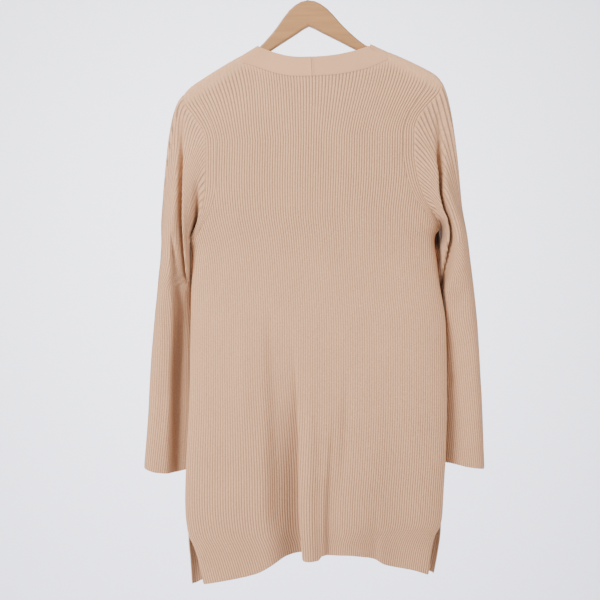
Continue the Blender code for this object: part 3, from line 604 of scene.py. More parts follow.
# %% Height of the ribs
RELIEF = 1.1
UNEVEN = 0.16
CROWN_POWER = 0.7
CROWN_MIDDLE = 0.6
SEAM_RIB = 0.1
HEM_RIB = 0.4
LINKED = 0.42
STAND = rows("z body sleeve", (-150, 1.1, 1.1), (-300, 1.1, 1.1), (-400, 1.0, 1.1), (-470, 0.85, 1.0),
             (-560, 0.7, 0.95), (-650, 0.72, 0.85), (-800, 0.9, 1.1), (-984, 1.05, 1.2))


def drift(a, b, seed):
    """A slow, fixed unevenness between -1 and 1."""
    return (np.sin(a * 0.37 + seed) * np.sin(b * 0.021 + 1.7 * seed)
            + 0.6 * np.sin(a * 1.31 + 0.4 * seed) * np.sin(b * 0.047 + seed)) / 1.6


def rib_height(number, along, seed):
    """Height of the rib surface over the middle of the wall's face, in mm."""
    phase = number - np.floor(number)
    crown = np.sin(np.pi * phase) ** CROWN_POWER
    return RELIEF * (1 + UNEVEN * drift(np.floor(number), along, seed)) * (crown - CROWN_MIDDLE)


def rib_uv(number, along):
    """Real millimetres across the ribs and along them."""
    return np.stack(np.broadcast_arrays(number * RIB_MM, along), axis=-1)


def from_edges(mid, edges):
    """Distance of each grid point from the nearest of the named edges, along the grid, in mm."""
    far = np.full(mid.shape[:2], 1e6)
    for edge in edges:
        across = edge in ("first", "last")
        way = -1 if edge in ("last", "high") else 1
        part = length_along((mid.swapaxes(0, 1) if across else mid)[::way])[::way]
        far = np.minimum(far, part.T if across else part)
    return far


# %% [markdown]
# The back is one panel. Its ribs are numbered out from the centre, and its edges are linked to the
# fronts, the sleeves and the neckband, where the wall is pressed to under half. Only the shoulder
# seams keep it whole, up to near their outer end. The deeper a fold is, the darker the shade painted
# into its colour, and shade is painted along the line where the neckband is linked on too.

# %% The back
SEAM_END = 196.0
FOLD_PAINTED_SHADE_MM = 75.0  # mm deep for the darkest shade
NECK_PAINTED_SHADE = 0.45
halves = {side: half_grid(-1, side) for side in (-1, 1)}
back_mid = np.concatenate([halves[-1][:, :0:-1], halves[1]], axis=1)
number = np.concatenate([-RIB_NUMBER[:0:-1], RIB_NUMBER])
along = np.array(ROWS_ALONG)[:, None]
hem_far = from_edges(back_mid, ("low",))
seam_far = from_edges(back_mid, ("first", "last", "high"))
shoulder_far = from_edges(back_mid, ("high",))
height = rib_height(np.abs(number), along, 1.0)
off_neck = ease((np.abs(back_mid[..., 0]) - 55) / 60)
stands = 1 - 0.8 * (1 - ease(shoulder_far / 12)) * off_neck
stands = stands * at(STAND, "body", back_mid[..., 2])
height = height * stands * grown(HEM_RIB, hem_far / 3.0)
press = grown(LINKED, np.minimum(seam_far / 2.0, hem_far / 1.5))
top_x = np.abs(back_mid[-1, :, 0])
press = np.maximum(press, ease((top_x - 106) / 8) * (shoulder_far < 4) * (top_x < SEAM_END))
arm = np.array([over_arm(np.sign(x), abs(x), 170)[0] for x in back_mid[-1, :, 0] + 1e-9])
above = draped(back_mid[-1, :, 0], back_mid[-1, :, 2] + 4, -1)
above = np.where((top_x > NECK_X)[:, None], arm, above)
# painted shade: darker with a fold's depth, and in a thin line under the neckband's seam
shade = np.clip(fold_push(back_mid[..., 0], back_mid[..., 2], -1)[0] / FOLD_PAINTED_SHADE_MM, 0, 1)
shade = np.maximum(shade, NECK_PAINTED_SHADE * (1 - ease(shoulder_far / 2.2)) * (top_x < NECK_X))
back = knitted("back_rib_knit", back_mid, height, press, rib_uv(number, along), flip=False,
               stands=stands, shade=shade, beyond=above)

# %% [markdown]
# Each front uses the same plan of ribs. Its inner edge is the line where the band is linked on, and
# its ribs end along the neck. At the top it goes over the hanger's arm, 9 mm up and over, down to the
# shoulder seam on the back.

# %% The fronts
WRAP_STEPS = (12, 24, 36, 50, 65, 80, 95, 110, 125, 140, 152, 163, 172)
FIRST_RIB = 9

fronts = {}
for side, word in SIDES.items():
    low = half_grid(1, side)[:, FIRST_RIB * PER_RIB:]
    top_x = np.abs(low[-1, :, 0])
    turned = np.array([over_arm(side, top_x, angle) for angle in WRAP_STEPS + (180,)])
    mid = np.concatenate([low, turned])
    number = RIB_NUMBER[FIRST_RIB * PER_RIB:]
    over = [FAN_Z + FAN_LONG + 2 * (k + 1) for k in range(len(turned))]
    along = np.array(ROWS_ALONG + over)[:, None]
    hem_far, top_far = from_edges(mid, ("low",)), from_edges(mid, ("high",))
    seam_far = from_edges(mid, ("first", "last", "high"))
    stands = grown(SEAM_RIB, (top_far - 26) / 14) * at(STAND, "body", mid[..., 2])
    height = rib_height(number, along, 2.0 + side) * stands * grown(HEM_RIB, hem_far / 3.0)
    press = grown(LINKED, np.minimum(seam_far / 2.0, hem_far / 1.5))
    press = np.maximum(press, 1.0 * (top_far < 4) * (top_x < SEAM_END) * (top_x > NECK_X + 1))
    under = draped(side * top_x, seam_z(top_x) - 4, -1)
    fronts[side] = knitted("front_rib_knit_" + word, mid, height, press, rib_uv(number, along),
                           flip=side > 0, stands=stands, shade=0 * stands, beyond=under)

# %% [markdown]
# A set-in sleeve is a tube whose ribs all end on the armhole. They leave the seam almost square to it
# and then drop, so the top of the sleeve has curved, crowded ribs. The tube hangs flat: a deep crease
# runs down the side towards us, and on the far side a shallow one. Each ring is made from named sizes
# at its height, and the rings of the cap are smooth curves from the armhole to the upper arm.
#
# Places round the sleeve are shares of a full turn, from the underarm and up the back first. The twist
# is how far the ribs have turned round the tube, and the crowding how they gather on the armhole. The
# leave table says how steeply and how strongly the cap's curves set out from it. A bend under 1 takes
# them out sideways sooner than down.

# %% The armholes
SLEEVE_RIBS = 64
TWIST = rows("z left right", (-465, 0.02, 0.05), (-515, 0.03, 0.115), (-560, 0.04, 0.175),
             (-650, 0.04, 0.195), (-800, 0.04, 0.235))
CROWD = {-1: rows("ring armhole", (0, 0), (0.15, 0.25), (0.38, 0.44), (0.5, 0.55), (1, 1)),
         1: rows("ring armhole", (0, 0), (0.27, 0.25), (0.49, 0.5), (1, 1))}
LEAVE = rows("share left right strong", (0, 0.3, 0.2, 0.7), (0.1, 1.3, 1.4, 1), (0.3, 1.9, 1, 0.72),
             (0.44, 1.1, 1.5, 0.52), (0.56, 1.5, 1.9, 0.52), (0.7, 1.2, 1.2, 0.72), (0.9, 0.5, 0.5, 1),
             (1, 0, 0, 0.7))
BEND = {-1: 0.82, 1: 1.0}
RING = 1600
RING_OVAL = 2.4
RING_MARKS = np.arange(RING + 1)
CAP_STEPS = [0.006, 0.016, 0.03, 0.05, 0.07] + list(np.linspace(0.09, 1, 62))
SLEEVE_LEVELS = list(np.arange(-474, -790, -9.0)) + [-795, -798.2, -799.4, -800]


def armhole_loop(side):
    """The armhole from the underarm up the back, over the arm and down the front, and a line inside it."""
    name = SIDES[side]
    turn = np.radians(np.arange(170, 5, -10.0))
    arm_z = at(RIDGE, "z", TIP_X) - WRAP
    up, down = np.linspace(UNDERARM_Z, TIP_Z, 500), np.linspace(arm_z, UNDERARM_Z, 500)
    lines = []
    for shift in (0.0, 3.0):
        x_up, x_down = side * (at(ARMHOLE, name, up) - shift), side * (at(ARMHOLE, name, down) - shift)
        x_arm = np.full(len(turn), side * (TIP_X - shift))
        lines.append(np.concatenate([
            np.stack([x_up, cloth_y(x_up, up, -1), up], 1),
            np.stack([x_arm, ARM_Y * np.cos(turn), arm_z + WRAP * np.sin(turn)], 1),
            np.stack([x_down, cloth_y(x_down, down, 1), down], 1)]))
    return lines


def even(curve, count):
    """The curve again with points evenly along its length."""
    length = length_along(curve)
    return picked(np.linspace(0, length[-1], count), length, curve)


print("armholes, mm round:", [round(float(length_along(armhole_loop(side)[0])[-1])) for side in SIDES])

# %% [markdown]
# A level ring of the sleeve starts as a squarish oval between its inner and outer points, each with
# its own depth, so that the ring can stand at a slant. It has no creases yet.

# %% Rings of the sleeve


def sleeve_ring(side, z):
    """A level ring of the sleeve with no creases: from the inner point, the side towards us first."""
    table = SLEEVE[side]
    turn = np.linspace(0, 2 * np.pi, RING + 1)
    reach, depth = (np.sign(a) * np.abs(a) ** (2 / RING_OVAL) for a in (-np.cos(turn), np.sin(turn)))
    inner, outer = at(table, "inner", z), at(table, "outer", z)
    x = (inner + outer) / 2 + reach * (outer - inner) / 2
    middle = at(table, "y_in", z) + (reach + 1) / 2 * (at(table, "y_out", z) - at(table, "y_in", z))
    return np.stack([x, middle - depth * at(table, "half", z), np.full(RING + 1, float(z))], axis=1)


def in_valley(side, x, z):
    """How much of a place lies in a valley of the sleeve, and how much painted shade it gets there, from 0 to
    1.
    """
    most, dark = 0 * x, 0 * x
    for valley in VALLEYS[side]:
        centre, deep = at(valley, "x", z), at(valley, "deep", z)
        wide = 1.3 * np.where(x < centre, at(valley, "in_w", z), at(valley, "out_w", z))
        part = np.minimum(deep / 12, 1) * np.exp(-(((x - centre) / wide) ** 2))
        most, dark = np.maximum(most, part), np.maximum(dark, part * at(valley, "dark", z))
    return most, dark


print("cuffs, mm round:", [round(float(length_along(sleeve_ring(side, -800.0))[-1])) for side in SIDES])

# %% [markdown]
# The creases are pushed into the ring: the valleys on the side towards us, the dents, a shallow crease
# on the far side, and the tail of cloth that reaches in behind the body.

# %% Creases of the sleeve


def creased(side, curve, share, down):
    """The ring with its valleys towards us, its crease on the far side and its tail behind the body,
    all growing on the way down the cap, from 0 at the armhole to 1 at the upper arm."""
    table = SLEEVE[side]
    x, y, z = curve[:, 0], curve[:, 1], curve[:, 2]
    grow, quick = ease(down / 0.5), ease(down / 0.1)
    seen = ease(2.2 * np.sin(2 * np.pi * share))
    far = ease(-2.2 * np.sin(2 * np.pi * share)) * grow
    step = at(VALLEYS[side][1 if side < 0 else 0], "x", z) + 4 - x
    push = at(table, "push", z) * ease(step / 10) * grow
    slide = 0 * push
    for valley in VALLEYS[side]:
        centre = at(valley, "x", z)
        wide = np.where(x < centre, at(valley, "in_w", z), at(valley, "out_w", z))
        part = np.exp(-(((x - centre) / wide) ** 2)) * np.where(at(valley, "quick", z) > 0.5, quick, grow)
        push, slide = push + at(valley, "deep", z) * part, slide + at(valley, "tuck", z) * part
    for i in np.flatnonzero(DENTS["side"] == side):
        d = {name: column[i] for name, column in DENTS.items()}
        turn = np.radians(d["turn"])
        lengthwise = (x - d["x"]) * np.cos(turn) + (z - d["z"]) * np.sin(turn)
        crosswise = (z - d["z"]) * np.cos(turn) - (x - d["x"]) * np.sin(turn)
        push = push + d["deep"] * np.exp(-((lengthwise / d["long"]) ** 2) - (crosswise / d["wide"]) ** 2)
    behind = at(table, "back_deep", z) * np.exp(-(((x - at(table, "back_x", z)) / 11) ** 2))
    inner, outer = at(table, "inner", z), at(table, "outer", z)
    hug = np.clip((outer - x) / (outer - inner), 0, 1) ** 3 * ease((UNDERARM_Z - z) / 9)
    y_in = at(table, "y_in", z)
    tail = at(table, "tail", z) * hug * ease(4 * (y - y_in) / (y.max() - y_in) - 2) * quick
    return np.stack([x - slide * seen - tail, y + push * seen - behind * far, z], axis=1)


ring = sleeve_ring(1, -560.0)
moved = creased(1, ring, np.linspace(0, 1, RING + 1), 1.0) - ring
print("deepest crease 120 mm below the right underarm, mm:", round(float(moved[:, 1].max()), 1))

# %% [markdown]
# The cap is a family of curves, one from each place on the armhole to its place on the upper arm. Each
# sets out in its own direction and arrives in line with the tube below, as cloth does that hangs from
# a seam. From there down the ribs follow the level rings to the cuff.

# %% The grid of a sleeve


def sleeve_grid(side, word):
    """Rings from the armhole to the cuff, a column for each quarter of a rib."""
    mirror = np.array([side, 1, 1])
    count = SLEEVE_RIBS * PER_RIB + 1
    edge, inside = armhole_loop(side)
    run = np.gradient(edge, axis=0)
    run /= np.linalg.norm(run, axis=1)[:, None]
    out = edge - inside
    out -= (out * run).sum(1)[:, None] * run
    out /= np.linalg.norm(out, axis=1)[:, None]
    edge, out = edge * mirror, out * mirror
    length = length_along(edge)
    own = length / length[-1]
    near = np.exp(-((np.minimum(length, length[-1] - length) / 30) ** 2))[:, None]
    start = edge + near * np.array([1.0, 0, 0.3])
    lead = out * (1 - near) + near * np.array([1.0, 0, -0.5])
    steep = np.interp(own, LEAVE["share"], LEAVE[word])
    strong = np.interp(own, LEAVE["share"], LEAVE["strong"])
    lead = lead + steep[:, None] * np.array([0, 0, -1.0])
    folds_in = np.where(own < 0.5, lead[:, 1] > 0, lead[:, 1] < 0)
    lead[:, 1] *= np.where(folds_in, 0.3, 1.0)
    lead *= (strong / np.linalg.norm(lead, axis=1))[:, None]
    share = np.linspace(0, 1, RING + 1)
    begin, leave = picked(share, own, start), picked(share, own, lead)
    bicep = even(sleeve_ring(side, BICEP_Z), RING + 1)
    fall = (even(sleeve_ring(side, BICEP_Z - 10), RING + 1) - bicep) / 10
    reach = np.linalg.norm(bicep - begin, axis=1)[:, None]
    first = creased(side, bicep, share, 1.0)
    step = length_along(first)
    step = step / step[-1]
    turns = np.linspace(0, 1, count)
    crowded = np.interp(turns, CROWD[side]["ring"], CROWD[side]["armhole"])
    rings = [picked(crowded * RING, RING_MARKS, even(begin, RING + 1))]
    for down in CAP_STEPS:
        w = np.array([down ** BEND[side], down ** BEND[side], down])
        a, b = 2 * w ** 3 - 3 * w ** 2 + 1, w ** 3 - 2 * w ** 2 + w
        curve = a * begin + b * leave * reach + (1 - a) * bicep + (w ** 3 - w ** 2) * fall * reach
        curve = creased(side, curve, share, down)
        mix = ease(down / 0.9)
        turned = crowded + (turns - crowded) * mix + at(TWIST, word, BICEP_Z) * ease(down / 0.8)
        levelled = np.floor(turned) + np.interp(turned % 1, step, share)
        index = RING * turned * (1 - mix) + RING * levelled * mix
        rings.append(picked(index % RING, RING_MARKS, curve))
    for z in SLEEVE_LEVELS:
        curve = creased(side, even(sleeve_ring(side, z), RING + 1), share, 1.0)
        curve[:, 2] += (at(CUFF[side], "z", curve[:, 0]) + 800) * ease((BICEP_Z - 100 - z) / 235)
        index = RING * ((turns + at(TWIST, word, z)) % 1)
        rings.append(picked(index, RING_MARKS, even(curve, RING + 1)))
    return np.array(rings)[:, :-1] * mirror


# %% [markdown]
# The ribs of a sleeve flatten in its valleys, and shade is painted into the cloth there, as it is just
# below the underarm, where the sleeve is tucked in beside the body.

# %% The sleeves


def painted_underarm_shade(side, mid):
    """Painted shade of a sleeve just below the underarm, on the side tucked in beside the body."""
    x, y, below = np.abs(mid[..., 0]), mid[..., 1], UNDERARM_Z - mid[..., 2]
    out = np.cross(np.gradient(mid, axis=0), np.gradient(mid, axis=1)) * side
    away = out[..., 1] / np.maximum(np.linalg.norm(out, axis=2), 1e-9)
    hidden = ease((y - 8) / 10) * (1 - ease((x - 204) / 8)) * ease((0.3 - away) / 0.4)
    top, low = (-1, 5) if side < 0 else (-14, 20)
    return 0.95 * hidden * (ease((below - top) / 10) * (1 - 0.85 * ease((below - low) / 18)))


sleeves = {}
for side, word in SIDES.items():
    mid = sleeve_grid(side, word)
    number = np.arange(mid.shape[1]) / PER_RIB
    along = length_along(mid[:, 40])[:, None]
    top_far, cuff_far = from_edges(mid, ("low",)), from_edges(mid, ("high",))
    near_us = mid[..., 1] < 20
    deep, dark = (part * near_us for part in in_valley(side, np.abs(mid[..., 0]), mid[..., 2]))
    stands = grown(0.3, top_far / 6) * at(STAND, "sleeve", mid[..., 2]) * (1 - 0.9 * deep)
    # painted shade: the valleys' and the underarm's, kept as the fold shade attribute
    shade = np.maximum(dark, painted_underarm_shade(side, mid))
    height = rib_height(number, along, 4.0 + side) * stands * grown(HEM_RIB, cuff_far / 3.0)
    press = grown(LINKED, np.minimum(top_far / 2.5, cuff_far / 1.5))
    sleeves[side] = knitted("sleeve_rib_knit_" + word, mid, height, press, rib_uv(number, -along),
                            flip=side < 0, closed=True, seam_uv=SLEEVE_RIBS * RIB_MM,
                            stands=stands, shade=shade)

# %% [markdown]
# The neckband and front bands are one narrow strip of fine plain knit on each side, joined at the
# centre back. It follows the neck, goes over the hanger's arm at the neck point, and runs down the
# front edge to the hem. It is smooth, a little fuller in its middle and pressed at its edges. At the
# join the wall dips to a groove and then stands in a low welt, 1.2 mm from it.

# %% The bands
BAND_SHARES = (0, 0.04, 0.1, 0.2, 0.32, 0.44, 0.56, 0.68, 0.8, 0.9, 0.96, 1)


def band_grid(side):
    """The band of one side: rows along it from the centre back, columns from its seam to its free edge."""
    share = np.array(BAND_SHARES)
    made = []
    for x in np.concatenate([[0.0, 0.5, 1.1, 1.8], np.linspace(4, NECK_X, 30)]):
        in_x = at(BAND_TOP, "inner", x) if x > 1.8 else x
        low, top = at(NECK, "z", x), at(BAND_TOP, "z", x)
        across, z = x + (in_x - x) * share, low + (top - low) * share
        made.append(np.stack([across, cloth_y(side * across, z, -1), z], axis=1))
    for angle in range(172, 0, -8):
        turn = np.radians(angle)
        in_x = 88 - 3 * (1 - np.sin(turn))
        low, top = at(RIDGE, "z", NECK_X), at(RIDGE, "z", 88.0) + 0.5
        x = NECK_X + (in_x - NECK_X) * share
        z = low + (top - low) * share - WRAP + WRAP * np.sin(turn)
        made.append(np.stack([x, ARM_Y * np.cos(turn) + 0 * x, z], axis=1))
    end = at(FRONT_HEM, "z", 50.0)
    start = at(RIDGE, "z", NECK_X) - WRAP
    for z in list(np.linspace(start, end + 4, 118)) + [end + 1.8, end + 0.7, end]:
        low = z + 16 * ease((z + 420) / 230)
        outer, inner = at(FRONT_EDGE, "band", z), at(FRONT_EDGE, "open", low)
        x, down = outer + (inner - outer) * share, z + (low - z) * share
        made.append(np.stack([x, cloth_y(side * x, down, 1), down], axis=1))
    return np.array(made) * np.array([side, 1, 1])


bands = {}
for side, word in SIDES.items():
    mid = band_grid(side)
    along = length_along(mid[:, 0])[:, None]
    across = from_edges(mid, ("first",))
    free_far = from_edges(mid, ("last", "high"))
    height = 0.35 * np.sin(np.pi * np.array(BAND_SHARES)) ** 0.6 + 0 * across
    press = grown(LINKED, np.minimum(across / 2.2, free_far / 1.4))
    welt, groove = np.exp(-(((along - 1.2) / 0.7) ** 2)), 1 - ease(along / 0.5)
    press = press * (1 + 0.9 * welt - 0.45 * groove)
    uv = np.stack(np.broadcast_arrays(across, along), axis=-1)
    bands[side] = knitted("band_plain_knit_" + word, mid, height, press, uv, flip=side < 0)

# %% [markdown]
# Colours are kept as the hex values that a dyer or a printer would read, and one function turns them
# to the linear values that the shader wants. One small helper adds a node, and another fills its
# sockets with values or links, so that a material reads like a list of what it does.

# %% Helpers for materials


def linear(code):
    """Linear colour of an sRGB hex value."""
    part = np.array([int(code[i:i + 2], 16) for i in (1, 3, 5)]) / 255
    return (*np.where(part <= 0.04045, part / 12.92, ((part + 0.055) / 1.055) ** 2.4), 1.0)


def fill(tree, made, sockets):
    """A node's sockets, by name or number, each set to a value or linked to another node's output."""
    for name, value in sockets.items():
        if isinstance(value, bpy.types.NodeSocket):
            tree.links.new(value, made.inputs[name])
        else:
            made.inputs[name].default_value = value


def node(tree, kind, settings=None, sockets=None):
    """A node of one kind with its settings and its sockets filled."""
    made = tree.nodes.new(kind)
    for name, value in (settings or {}).items():
        setattr(made, name, value)
    fill(tree, made, sockets or {})
    return made


def new_material(name):
    """A new material, its nodes and its shader."""
    made = bpy.data.materials.new(name)
    made.use_nodes = True
    return made, made.node_tree, made.node_tree.nodes["Principled BSDF"]


print("rib colour, linear:", [round(float(part), 3) for part in linear("#bb8d68")[:3]])

# %% [markdown]
# The yarn is a soft combed cotton, undyed beige, knitted in a fine rib. It is matt with a faint sheen
# from loose fibres. Little light gets down between the ribs, so shade is painted into the valleys as a
# darker colour, the more the ribs stand. The rib's number is its place across the cloth over its
# width, and the valley is where that number is near a whole one.

# %% Rib-knit cotton: crowns and valleys
rib_knit, tree, shader = new_material("combed_cotton_rib_knit")
place = node(tree, "ShaderNodeUVMap", {"uv_map": "knit_mm"})
parts = node(tree, "ShaderNodeSeparateXYZ", sockets={"Vector": place.outputs["UV"]})
which = node(tree, "ShaderNodeMath", {"operation": "MULTIPLY"}, {0: parts.outputs["X"], 1: 1 / RIB_MM})
phase = node(tree, "ShaderNodeMath", {"operation": "FRACT"}, {0: which.outputs[0]})
centred = node(tree, "ShaderNodeMath", {"operation": "SUBTRACT"}, {0: phase.outputs[0], 1: 0.5})
away = node(tree, "ShaderNodeMath", {"operation": "ABSOLUTE"}, {0: centred.outputs[0]})
valley = node(tree, "ShaderNodeMapRange", {"interpolation_type": "SMOOTHSTEP"},
              {"Value": away.outputs[0], "From Min": 0.2, "From Max": 0.5})
stand = node(tree, "ShaderNodeAttribute", {"attribute_name": "rib_stand"})
deep = node(tree, "ShaderNodeMath", {"operation": "MULTIPLY"},
            {0: valley.outputs["Result"], 1: stand.outputs["Fac"]})
# painted shade: the rib valleys go from the crown colour towards the darker valley colour
base = node(tree, "ShaderNodeMix", {"data_type": "RGBA"},
            {"Factor": deep.outputs[0], 6: linear("#bb8d68"), 7: linear("#7e604a")})
print(rib_knit.name, len(tree.nodes), "nodes so far")

# %% [markdown]
# No yarn is even. Three noises make its tone wander: a broad one, a fine one for the fibres, and one
# drawn out along the ribs for its thick and thin places. Last, painted shade takes the cloth in deep
# folds, hollows and the neck seam towards dark brown.

# %% Rib-knit cotton: unevenness and painted shade in folds
spots = node(tree, "ShaderNodeTexCoord")
mottle = node(tree, "ShaderNodeTexNoise",
              sockets={"Vector": spots.outputs["Object"], "Scale": 22.0, "Detail": 3.0})
fibre = node(tree, "ShaderNodeTexNoise",
             sockets={"Vector": spots.outputs["Object"], "Scale": 620.0, "Detail": 2.0})
rib_map = node(tree, "ShaderNodeMapping",
               sockets={"Vector": place.outputs["UV"], "Scale": (1 / RIB_MM, 0.3, 1.0)})
uneven = node(tree, "ShaderNodeTexNoise",
              sockets={"Vector": rib_map.outputs[0], "Scale": 1.3, "Detail": 2.0})
tone = node(tree, "ShaderNodeMapRange", sockets={
    "Value": mottle.outputs["Fac"], "From Min": 0.3, "From Max": 0.7, "To Min": 0.97, "To Max": 1.02})
fuzz = node(tree, "ShaderNodeMapRange", sockets={
    "Value": fibre.outputs["Fac"], "From Min": 0.35, "From Max": 0.65, "To Min": 0.9, "To Max": 1.07})
knots = node(tree, "ShaderNodeMapRange", sockets={
    "Value": uneven.outputs["Fac"], "From Min": 0.3, "From Max": 0.7, "To Min": 0.9, "To Max": 1.08})
both = node(tree, "ShaderNodeMath", {"operation": "MULTIPLY"},
            {0: tone.outputs["Result"], 1: fuzz.outputs["Result"]})
total = node(tree, "ShaderNodeMath", {"operation": "MULTIPLY"},
             {0: both.outputs[0], 1: knots.outputs["Result"]})
ground = node(tree, "ShaderNodeVectorMath", {"operation": "SCALE"},
              {0: base.outputs[2], "Scale": total.outputs[0]})
# painted shade: the fold shade attribute mixes the colour towards dark brown where folds, hollows and the
# neck seam lie in shade
folded = node(tree, "ShaderNodeAttribute", {"attribute_name": "painted_fold_shade"})
shade = node(tree, "ShaderNodeMix", {"data_type": "RGBA"},
             {"Factor": folded.outputs["Fac"], 6: ground.outputs[0], 7: linear("#362926")})
print(rib_knit.name, len(tree.nodes), "nodes so far")

# %% [markdown]
# A stitch is about 2.6 mm tall and half a rib wide, and it looks like a small V, so the bump is a row
# of slanting waves along each rib, bent at its crown. The fibres add their fuzz to it.

# %% Rib-knit cotton: stitches and sheen
STITCH_MM = 2.6
lean = node(tree, "ShaderNodeMath", {"operation": "MULTIPLY_ADD"},
            {0: away.outputs[0], 1: 3.0, 2: parts.outputs["Y"]})
turns = node(tree, "ShaderNodeMath", {"operation": "MULTIPLY"},
             {0: lean.outputs[0], 1: 2 * np.pi / STITCH_MM})
wave = node(tree, "ShaderNodeMath", {"operation": "SINE"}, {0: turns.outputs[0]})
relief = node(tree, "ShaderNodeMath", {"operation": "MULTIPLY_ADD"},
              {0: fibre.outputs["Fac"], 1: 0.8, 2: wave.outputs[0]})
bump = node(tree, "ShaderNodeBump",
            sockets={"Height": relief.outputs[0], "Strength": 0.35, "Distance": 0.00018})
fill(tree, shader, {"Base Color": shade.outputs[2], "Normal": bump.outputs["Normal"], "Roughness": 0.82,
                    "Sheen Weight": 0.25, "Sheen Roughness": 0.45, "Sheen Tint": linear("#e8c9a6"),
                    "Specular IOR Level": 0.25})
print(rib_knit.name, len(tree.nodes), "nodes")

# %% [markdown]
# The bands are the same yarn in a finer plain knit. Its stitches are only 1.5 mm, too fine to make
# out from here, so it reads as a smooth, even cloth with none of the dark valleys of the ribs.

# %% Plain-knit cotton
FINE_STITCH_MM = 1.5
plain_knit, tree, shader = new_material("combed_cotton_plain_knit")
spots = node(tree, "ShaderNodeTexCoord")
mottle = node(tree, "ShaderNodeTexNoise",
              sockets={"Vector": spots.outputs["Object"], "Scale": 30.0, "Detail": 3.0})
fibre = node(tree, "ShaderNodeTexNoise",
             sockets={"Vector": spots.outputs["Object"], "Scale": 1100.0, "Detail": 2.0})
tone, fuzz = (node(tree, "ShaderNodeMapRange", sockets={
    "Value": part.outputs["Fac"], "From Min": 0.3, "From Max": 0.7, "To Min": 0.97, "To Max": 1.02})
    for part in (mottle, fibre))
both = node(tree, "ShaderNodeMath", {"operation": "MULTIPLY"},
            {0: tone.outputs["Result"], 1: fuzz.outputs["Result"]})
ground = node(tree, "ShaderNodeRGB")
ground.outputs[0].default_value = linear("#b58763")
shade = node(tree, "ShaderNodeVectorMath", {"operation": "SCALE"},
             {0: ground.outputs[0], "Scale": both.outputs[0]})
place = node(tree, "ShaderNodeUVMap", {"uv_map": "knit_mm"})
parts = node(tree, "ShaderNodeSeparateXYZ", sockets={"Vector": place.outputs["UV"]})
waves = []
for axis in ("X", "Y"):
    turns = node(tree, "ShaderNodeMath", {"operation": "MULTIPLY"},
                 {0: parts.outputs[axis], 1: 2 * np.pi / FINE_STITCH_MM})
    waves.append(node(tree, "ShaderNodeMath", {"operation": "SINE"}, {0: turns.outputs[0]}))
cells = node(tree, "ShaderNodeMath", {"operation": "MULTIPLY_ADD"},
             {0: waves[0].outputs[0], 1: waves[1].outputs[0], 2: fibre.outputs["Fac"]})
bump = node(tree, "ShaderNodeBump",
            sockets={"Height": cells.outputs[0], "Strength": 0.25, "Distance": 0.00012})
fill(tree, shader, {"Base Color": shade.outputs[0], "Normal": bump.outputs["Normal"], "Roughness": 0.8,
                    "Sheen Weight": 0.2, "Sheen Roughness": 0.45, "Sheen Tint": linear("#e8c9a6"),
                    "Specular IOR Level": 0.25})
print(plain_knit.name, len(tree.nodes), "nodes")

# %% [markdown]
# The hanger's yoke is cut from a beech board and has a thin satin varnish. Beech has a quiet, straight
# grain with short darker flecks a few millimetres long, which run along the arms, so its noise is
# stretched along x.

# %% Beech
beech, tree, shader = new_material("varnished_beech")
spots = node(tree, "ShaderNodeTexCoord")
long_grain = node(tree, "ShaderNodeMapping",
                  sockets={"Vector": spots.outputs["Object"], "Scale": (9.0, 160.0, 160.0)})
grain = node(tree, "ShaderNodeTexNoise", sockets={
    "Vector": long_grain.outputs[0], "Scale": 1.0, "Detail": 5.0, "Distortion": 0.4})
fleck_map = node(tree, "ShaderNodeMapping",
                 sockets={"Vector": spots.outputs["Object"], "Scale": (120.0, 900.0, 900.0)})
fleck = node(tree, "ShaderNodeTexNoise",
             sockets={"Vector": fleck_map.outputs[0], "Scale": 1.0, "Detail": 1.0})
colour = node(tree, "ShaderNodeValToRGB", sockets={"Fac": grain.outputs["Fac"]})
for end, position, code in zip(colour.color_ramp.elements, (0.3, 0.72), ("#855a2e", "#94693a")):
    end.position = position
    end.color = linear(code)
dark = node(tree, "ShaderNodeMapRange", sockets={
    "Value": fleck.outputs["Fac"], "From Min": 0.62, "From Max": 0.72, "To Min": 1.0, "To Max": 0.86})
shade = node(tree, "ShaderNodeVectorMath", {"operation": "SCALE"},
             {0: colour.outputs[0], "Scale": dark.outputs["Result"]})
bump = node(tree, "ShaderNodeBump",
            sockets={"Height": grain.outputs["Fac"], "Strength": 0.1, "Distance": 0.0002})
fill(tree, shader, {"Base Color": shade.outputs[0], "Normal": bump.outputs["Normal"], "Roughness": 0.5,
                    "Coat Weight": 0.15, "Coat Roughness": 0.3})
print(beech.name, len(tree.nodes), "nodes")

# %% [markdown]
# The hook is drawn steel wire, nickel plated and bright. Handling dulls it a little in places, so its
# roughness wanders.

# %% Steel
steel, tree, shader = new_material("bright_nickel_plated_steel")
spots = node(tree, "ShaderNodeTexCoord")
drawn = node(tree, "ShaderNodeTexNoise",
             sockets={"Vector": spots.outputs["Object"], "Scale": 400.0, "Detail": 2.0})
rough = node(tree, "ShaderNodeMapRange", sockets={
    "Value": drawn.outputs["Fac"], "From Min": 0.3, "From Max": 0.7, "To Min": 0.16, "To Max": 0.28})
fill(tree, shader, {"Base Color": linear("#c9c8c4"), "Metallic": 1.0, "Roughness": rough.outputs["Result"]})
print(steel.name, len(tree.nodes), "nodes")

# %% [markdown]
# Each fine piece now stands for its plain solid, which is hidden, gets its knit and rides on the same
# body. Only the band's length is worked out, from its area. The wood and steel nodes have the right
# shape already, so they only get their finish.

